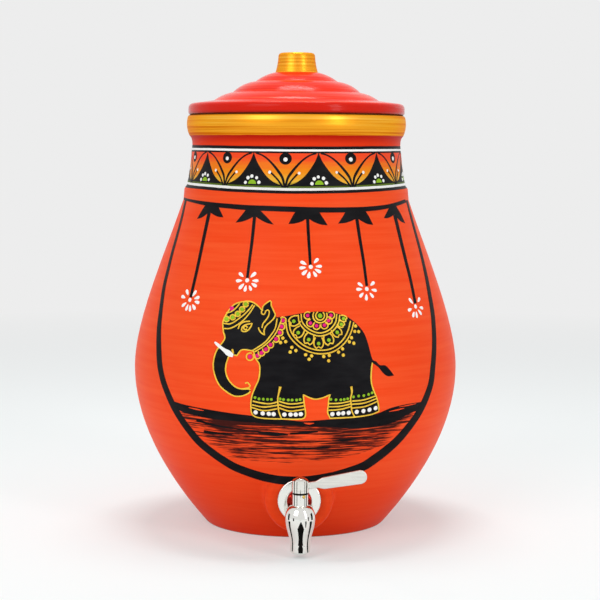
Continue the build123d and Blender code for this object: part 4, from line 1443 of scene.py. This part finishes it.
SADDLE_GREEN = ((293.8, 321.3), (298.2, 332.7), (308.7, 339.7), (318.6, 343.6),
                (328.8, 340.1), (337.1, 332.5), (341.2, 324.4), (343.5, 318.7))
ROSETTE = (320.0, 315.8)
ROSETTE_PINK = ((307.6, 315.6), (310.3, 323.2), (316.5, 325.9), (324.3, 325.3),
                (328.4, 320.6), (330.9, 315.4))
GOLD_CLUSTERS = (
    (282.9, 338.2), (280.6, 342.6), (285.7, 341.7), (291.8, 347.4), (290.2, 352.1),
    (295.9, 350.6), (305.6, 354.8), (311.6, 355.9), (309.1, 359.3), (323.7, 356.6),
    (329.2, 355.4), (328.6, 360.8), (342.5, 348.9), (338.4, 352.1), (343.2, 355.1),
    (351.4, 337.8), (349.2, 341.9), (353.7, 343.3), (355.4, 326.1), (354.6, 331.5),
    (358.5, 331.7))
LEG_SPLITS = (
    ((280.4, 386.6, 1.9), (279.1, 392, 1.2), (277.8, 398.4), (278.1, 404.8), (278.8, 411.2),
     (281.6, 418.8)),
    ((351.1, 386.4, 1.7), (351.8, 392, 1.2), (350.5, 398.4), (351.1, 404.8),
     (351.8, 411.2), (354.3, 416.3)),
)
ANKLE_LINES = (
    ((252.9, 401), (262.0, 403.0), (270.0, 403.6), (277.5, 401.9)),
    ((252.3, 404.8), (263.8, 406.9), (277.5, 405.2)),
    ((251.7, 407.3), (263.8, 410.5), (277.5, 408.6)),
    ((279.0, 401.2), (288.0, 403.6), (296.0, 403.6), (304.0, 402.2)),
    ((279.0, 404.6), (290.0, 407.3), (304.4, 405.8)),
    ((279.0, 407.8), (290.0, 411.0), (305.0, 409.0)),
    ((328.8, 403.5), (340.0, 403.1), (351.0, 400.8)),
    ((328.8, 406.7), (340.0, 406.2), (351.0, 403.8)),
    ((328.4, 410.2), (340.0, 409.3), (351.0, 406.4)),
    ((351.8, 401), (363.0, 399.9), (375.4, 395.9)),
    ((351.8, 404.2), (364.0, 402.9), (376.7, 398.4)),
    ((351.8, 408), (365.0, 406.3), (377.9, 401)),
)
ANKLE_GREEN = (
    (255.1, 397.5), (259.1, 398.8), (263.4, 399.1), (267.6, 399.3), (271.4, 399.3),
    (280.1, 398.8), (283.5, 399.4), (288.3, 399.9), (292.1, 399.9), (296.6, 399.9),
    (300.1, 399.4), (330.7, 399.3), (335.8, 399.7), (340.7, 399.7), (344.1, 399.3),
    (347.6, 398.7), (353.3, 396.8), (358.5, 395.9), (363.6, 395.5), (368.4, 394.3),
    (371.9, 392.7))
TOENAILS = (
    (255.7, 412.2), (262.8, 413.3), (268.9, 413.7), (273.7, 414), (284.4, 414.4),
    (290.6, 414.4), (295.7, 414.4), (300.8, 414), (332.3, 414), (338.4, 413.5),
    (343.1, 413.1), (348.6, 412.7), (356.6, 411.8), (363.3, 410.9), (369.3, 409.6),
    (375.4, 408))
# A small heart-shaped loop, outwards in the first value, sideways in the second.
HEART_LOOP = ((-1.35, -0.70), (-0.55, -1.02), (0.40, -1.00), (1.05, -0.55), (0.72, 0.0),
              (1.05, 0.55), (0.40, 1.00), (-0.55, 1.02), (-1.35, 0.70))
HEART_PX_MOST = 4.5
HEART_ROOM_SHARE = 0.46
# The crease where the trunk leaves the cheek, and the pink dot by the cap.
CHEEK_CREASE = ((232.5, 349.3, 1.5), (233.4, 353.8, 1.1))
CAP_PINK = (231.9, 308.5, 2.4)
COLLAR_HEART = (262.0, 330.0)
# Rings of line: centre, radius, and the angles from which and to which it is drawn.
RINGS = (((245.6, 327.9), 1.8, 0, 330), (PENDANT, 3.7, 60, 400),
         *((dot[:2], 2.6, 0, 350) for dot in CAP_GREEN),
         (ROSETTE, 4.4, 120, 410), (ROSETTE, 7.1, 150, 385))
# Rings left open towards a place: their centres, the place, radius and half their sweep.
OPEN_RINGS = ((COLLAR_PINK, COLLAR_HEART, 3.2, 115), (ROSETTE_PINK, ROSETTE, 3.6, 130))
# Lines of the saddle cloth, and how far inside each a second one runs.
SADDLE_EDGES = ((SADDLE_OUTER, 3.6), (SADDLE_INNER, 3.1))
# Dots: the piece, how tall they are for their radius, then rows of dots with their radius.
DOTS = (
    ("gold_dots", 0.5, (GOLD_CLUSTERS, 1.75)),
    ("lime_dots", 0.42, (CAP_GREEN, 2.1), (ANKLE_GREEN, 1.5), (SADDLE_GREEN, 1.9),
     ((ROSETTE,), 2.4)),
    ("pink_dots", 0.42, (COLLAR_PINK, 2.1), (ROSETTE_PINK, 1.9), ((PENDANT, CAP_PINK), 2.2)),
    ("toenails", 0.34, (TOENAILS, 2.3)),
)
SKIN_STEP_PX, SKIN_FILL_PX = 2.0, 5.0
TUSK_PROUD_SHARE = 1.1


def heart_loop(centre, others):
    """A small loop of line, as large as its neighbours allow, that points out of the saddle."""
    spot = Vector(centre)
    room = min((spot - Vector(other)).length for other in others if other != centre)
    size = min(HEART_PX_MOST, HEART_ROOM_SHARE * room)
    out = (spot - Vector(SADDLE_HEART)).normalized()
    side = Vector((-out.y, out.x))
    return [tuple(spot + (out * a + side * b) * size) for a, b in HEART_LOOP]


def trapping_lines():
    """The lines of the elephant's cloth, rings and dots."""
    lines = [arc(*ring) for ring in RINGS]
    for centres, place, radius, half_sweep in OPEN_RINGS:
        for centre in centres:
            away = Vector(centre) - Vector(place)
            way = degrees(atan2(-away.y, away.x))
            lines.append(arc(centre, radius, way - half_sweep, way + half_sweep))
    for line, inset in SADDLE_EDGES:
        inner = [Vector(p) + (Vector(SADDLE_HEART) - Vector(p)).normalized() * inset
                 for p in line]
        lines += [line, [tuple(p) for p in inner]]
    return lines + [heart_loop(centre, SADDLE_GREEN) for centre in SADDLE_GREEN]


class WATERJAR_OT_elephant(JarPiece, bpy.types.Operator):
    """Paint the dressed elephant of the front panel"""
    bl_idname = "water_jar.elephant"
    bl_label = "Painted Elephant"

    def execute(self, context):
        _, ornament, _, studio = settings_of(context)
        eye = PhotoEye(studio)
        black = enamel("elephant_black", ornament.black, ornament.gloss)
        gold = enamel("outliner_gold", ornament.outliner, ornament.gloss, 0.35, drift=0.25)
        white = enamel("toenail_white", ornament.white, ornament.gloss, drift=0.0)
        lime = enamel("trapping_lime", ornament.lime, ornament.gloss, drift=0.2)
        pink = enamel("trapping_pink", ornament.magenta, ornament.gloss, drift=0.2)

        outline = (HEAD_RUN + EAR_RUN[1:] + BACK_RUN[1:] + TAIL_RUN[1:] + RUMP_RUN[1:]
                   + CHIN_RUN[1:] + TRUNK_INNER_RUN + TRUNK_OUTER_RUN[:-1])
        skin = PaintCoat(ornament.second_coat, ornament.key_in)
        skin.shape(outline, eye, SKIN_STEP_PX, SKIN_FILL_PX)
        settle("elephant_skin", skin.mesh(), black)

        proud = ornament.bead * TUSK_PROUD_SHARE
        tusk = PaintCoat(ornament.second_coat + proud, ornament.key_in)
        tusk.stroke(TUSK, TUSK_WIDTHS, eye, SKIN_STEP_PX)
        settle("elephant_tusk", tusk.mesh(), white)

        lines = [HEAD_RUN, EAR_RUN, RUMP_RUN, CHIN_RUN, TRUNK_INNER_RUN, TRUNK_OUTER_RUN,
                 TRUNK_CURL, CHEEK_CREASE, *EAR_CURLS, *EYE_LINES, *CAP_ARCS, *COLLAR_LINES,
                 *LEG_SPLITS, *ANKLE_LINES, *trapping_lines()]
        settle("gold_outliner", beads(lines, ornament.bead, gold, ornament.second_coat, eye),
               gold)

        for (name, flatness, *rows), paint in zip(DOTS, (gold, lime, pink, white)):
            spots = [spot for dots, radius_px in rows
                     for spot in dot_row(eye, dots, radius_px, ornament.third_coat)]
            settle(name, stamps(spots, paint, flatness), paint)
        return {"FINISHED"}


FLOOR_HALF = 3.0
FLOOR_FADE = (0.55, 1.9)
FLOOR_SHADE_SHARE = 0.64
FLOOR_ROUGHNESS = 0.9
CLIP_NEAR, CLIP_FAR = 0.05, 50.0
# Each lamp: name, place, what it faces, width, height, watts.
LAMPS = (
    ("front_left_softbox", (-1.35, -1.75, 1.45), (0.0, 0.0, 0.20), 1.3, 1.5, 17.0),
    ("front_right_softbox", (1.36, -1.62, 0.98), (0.0, 0.0, 0.30), 0.34, 1.7, 10.6),
    ("top_softbox", (0.02, 0.22, 1.62), (0.0, 0.0, 0.30), 0.64, 0.32, 11.0),
)
# Dark cards that only bright metal sees, round the tap, making painted dark reflections:
# bearing, half width in degrees, height and tone; then patches on the floor, a painted shadow of
# the jar and
# the tap that only the metal mirrors: bearing, and a near and a far end, each its distance and
# half width in degrees.
CARDS = ((-98, 9, 0.070, 0.010), (-52, 5, 0.040, 0.060), (62, 4, 0.050, 0.020),
         (96, 10, 0.075, 0.010))
CARD_REACH = 0.17
FLOOR_SHADOW_PATCHES = ((3, (0.018, 12), (0.042, 26)), (3, (0.042, 26), (0.125, 3)),
           (-1, (0.243, 8), (0.266, 5)), (-90, (0.030, 8), (0.130, 10)),
           (84, (0.026, 7), (0.130, 12)), (40, (0.050, 3), (0.160, 6)))
FLOOR_SHADOW_TONE = 0.008
PATCH_HEIGHT = 0.0003
CARD_HIDDEN_FROM = ("camera", "diffuse", "transmission", "volume_scatter", "shadow")


def sheet(name, corners, material):
    """A flat four-cornered sheet."""
    mesh = bpy.data.meshes.new(name)
    mesh.from_pydata(corners, [], [(0, 1, 2, 3)])
    mesh.materials.append(material)
    return show(name, mesh)


def floor_finish(studio):
    """A pale floor that keeps the jar's shadow and fades into the backdrop."""
    finish = Finish("floor_paint")
    seen = finish.is_ray("Camera", "Glossy")
    shaded = toned(studio.floor, FLOOR_SHADE_SHARE)
    finish.set(base_color=seen.blend(studio.floor, shaded), roughness=FLOOR_ROUGHNESS,
               specular_ior_level=0.05, emission_color=studio.floor,
               emission_strength=seen * (1.0 - FLOOR_SHADE_SHARE))
    glow = finish.out("ShaderNodeEmission", {"Color": studio.backdrop})
    x, y, _ = finish.place()
    fade = finish.distance(x, y).span(*FLOOR_FADE)
    finish.feed(finish.surface, finish.out("ShaderNodeMixShader",
                                           {0: fade, 1: finish.lit, 2: glow}))
    return finish.material


def hold_cards():
    """Stands dark cards round the tap, and lays some on the floor as painted shadow, for its
    painted reflections.
    """
    def corner(bearing, reach, height):
        return (TAP_AXIS[0] + sin(radians(bearing)) * reach,
                TAP_AXIS[1] - cos(radians(bearing)) * reach, height)

    shapes = [(tone, [corner(bearing + side * half, CARD_REACH, z)
                      for side, z in ((-1, 0.0), (1, 0.0), (1, height), (-1, height))])
              for bearing, half, height, tone in CARDS]
    shapes += [(FLOOR_SHADOW_TONE, [corner(bearing + side * half, reach, PATCH_HEIGHT)
                             for side, (reach, half) in ((-1, near), (1, near), (1, far),
                                                         (-1, far))])
               for bearing, near, far in FLOOR_SHADOW_PATCHES]
    for number, (tone, corners) in enumerate(shapes):
        finish = Finish("card_paint_%d" % number)
        finish.set(base_color=(tone, tone, tone), roughness=1.0, specular_ior_level=0.0)
        card = sheet("card_%d" % number, corners, finish.material)
        for ray in CARD_HIDDEN_FROM:
            setattr(card, "visible_" + ray, False)


def light_world(studio):
    """Even light all round, seen as the plain backdrop."""
    world = bpy.data.worlds.new("studio_light")
    bpy.context.scene.world = world
    world.use_nodes = True
    nodes = Nodes(world.node_tree)
    lit = nodes.out("ShaderNodeBackground", {0: UNTINTED, 1: studio.ambient})
    seen = nodes.out("ShaderNodeBackground", {0: studio.backdrop})
    sight = nodes.is_ray("Camera", "Glossy", "Transmission")
    mixed = nodes.out("ShaderNodeMixShader", {0: sight, 1: lit, 2: seen})
    nodes.node("ShaderNodeOutputWorld", {"Surface": mixed})


class WATERJAR_OT_studio(JarPiece, bpy.types.Operator):
    """Set up the floor, the lamps and the camera"""
    bl_idname = "water_jar.studio"
    bl_label = "Studio"

    def execute(self, context):
        studio = settings_of(context)[3]
        half = FLOOR_HALF
        floor = sheet("floor", [(-half, -half, 0), (half, -half, 0), (half, half, 0),
                                (-half, half, 0)], floor_finish(studio))
        light_world(studio)
        hold_cards()
        for name, place, target, width, height, watts in LAMPS:
            lamp = bpy.data.lights.new(name, "AREA")
            lamp.shape = "RECTANGLE"
            lamp.size, lamp.size_y, lamp.energy = width, height, watts
            holder = show(name, lamp)
            holder.location = place
            aim = Vector(target) - Vector(place)
            holder.rotation_euler = aim.to_track_quat("-Z", "Y").to_euler()
        camera = bpy.data.cameras.new("photo_camera")
        camera.lens, camera.sensor_width = studio.lens_mm, SENSOR_MM
        camera.sensor_fit = "HORIZONTAL"
        camera.clip_start, camera.clip_end = CLIP_NEAR, CLIP_FAR
        holder = show("photo_camera", camera)
        holder.location = studio.camera_place
        holder.rotation_euler = camera_turn(studio).to_euler()
        context.scene.camera = holder
        context.scene.view_settings.view_transform = "Standard"
        return {"FINISHED"}


class WATERJAR_PT_sidebar(bpy.types.Panel):
    """Lists the jar's pieces in the order they are made"""
    bl_idname = "WATERJAR_PT_sidebar"
    bl_label = "Painted Water Jar"
    bl_space_type = "VIEW_3D"
    bl_region_type = "UI"
    bl_category = "Water Jar"

    def draw(self, context):
        for operator in OPERATORS:
            self.layout.operator(operator.bl_idname)
        for name, group in SETTINGS:
            box = self.layout.box()
            box.label(text=group.__doc__)
            for setting in group.__annotations__:
                box.prop(getattr(context.scene, name), setting)


OPERATORS = (WATERJAR_OT_clay, WATERJAR_OT_neck, WATERJAR_OT_shoulder, WATERJAR_OT_panel,
             WATERJAR_OT_elephant, WATERJAR_OT_tap, WATERJAR_OT_studio)
CLASSES = tuple(group for _, group in SETTINGS) + OPERATORS + (WATERJAR_PT_sidebar,)


def register():
    for made in CLASSES:
        bpy.utils.register_class(made)
    for name, group in SETTINGS:
        setattr(bpy.types.Scene, name, PointerProperty(type=group))


def unregister():
    for name, _ in SETTINGS:
        delattr(bpy.types.Scene, name)
    for made in reversed(CLASSES):
        bpy.utils.unregister_class(made)


def main():
    register()
    for operator in OPERATORS:
        family, action = operator.bl_idname.split(".")
        getattr(getattr(bpy.ops, family), action)()


if __name__ == "__main__":
    main()
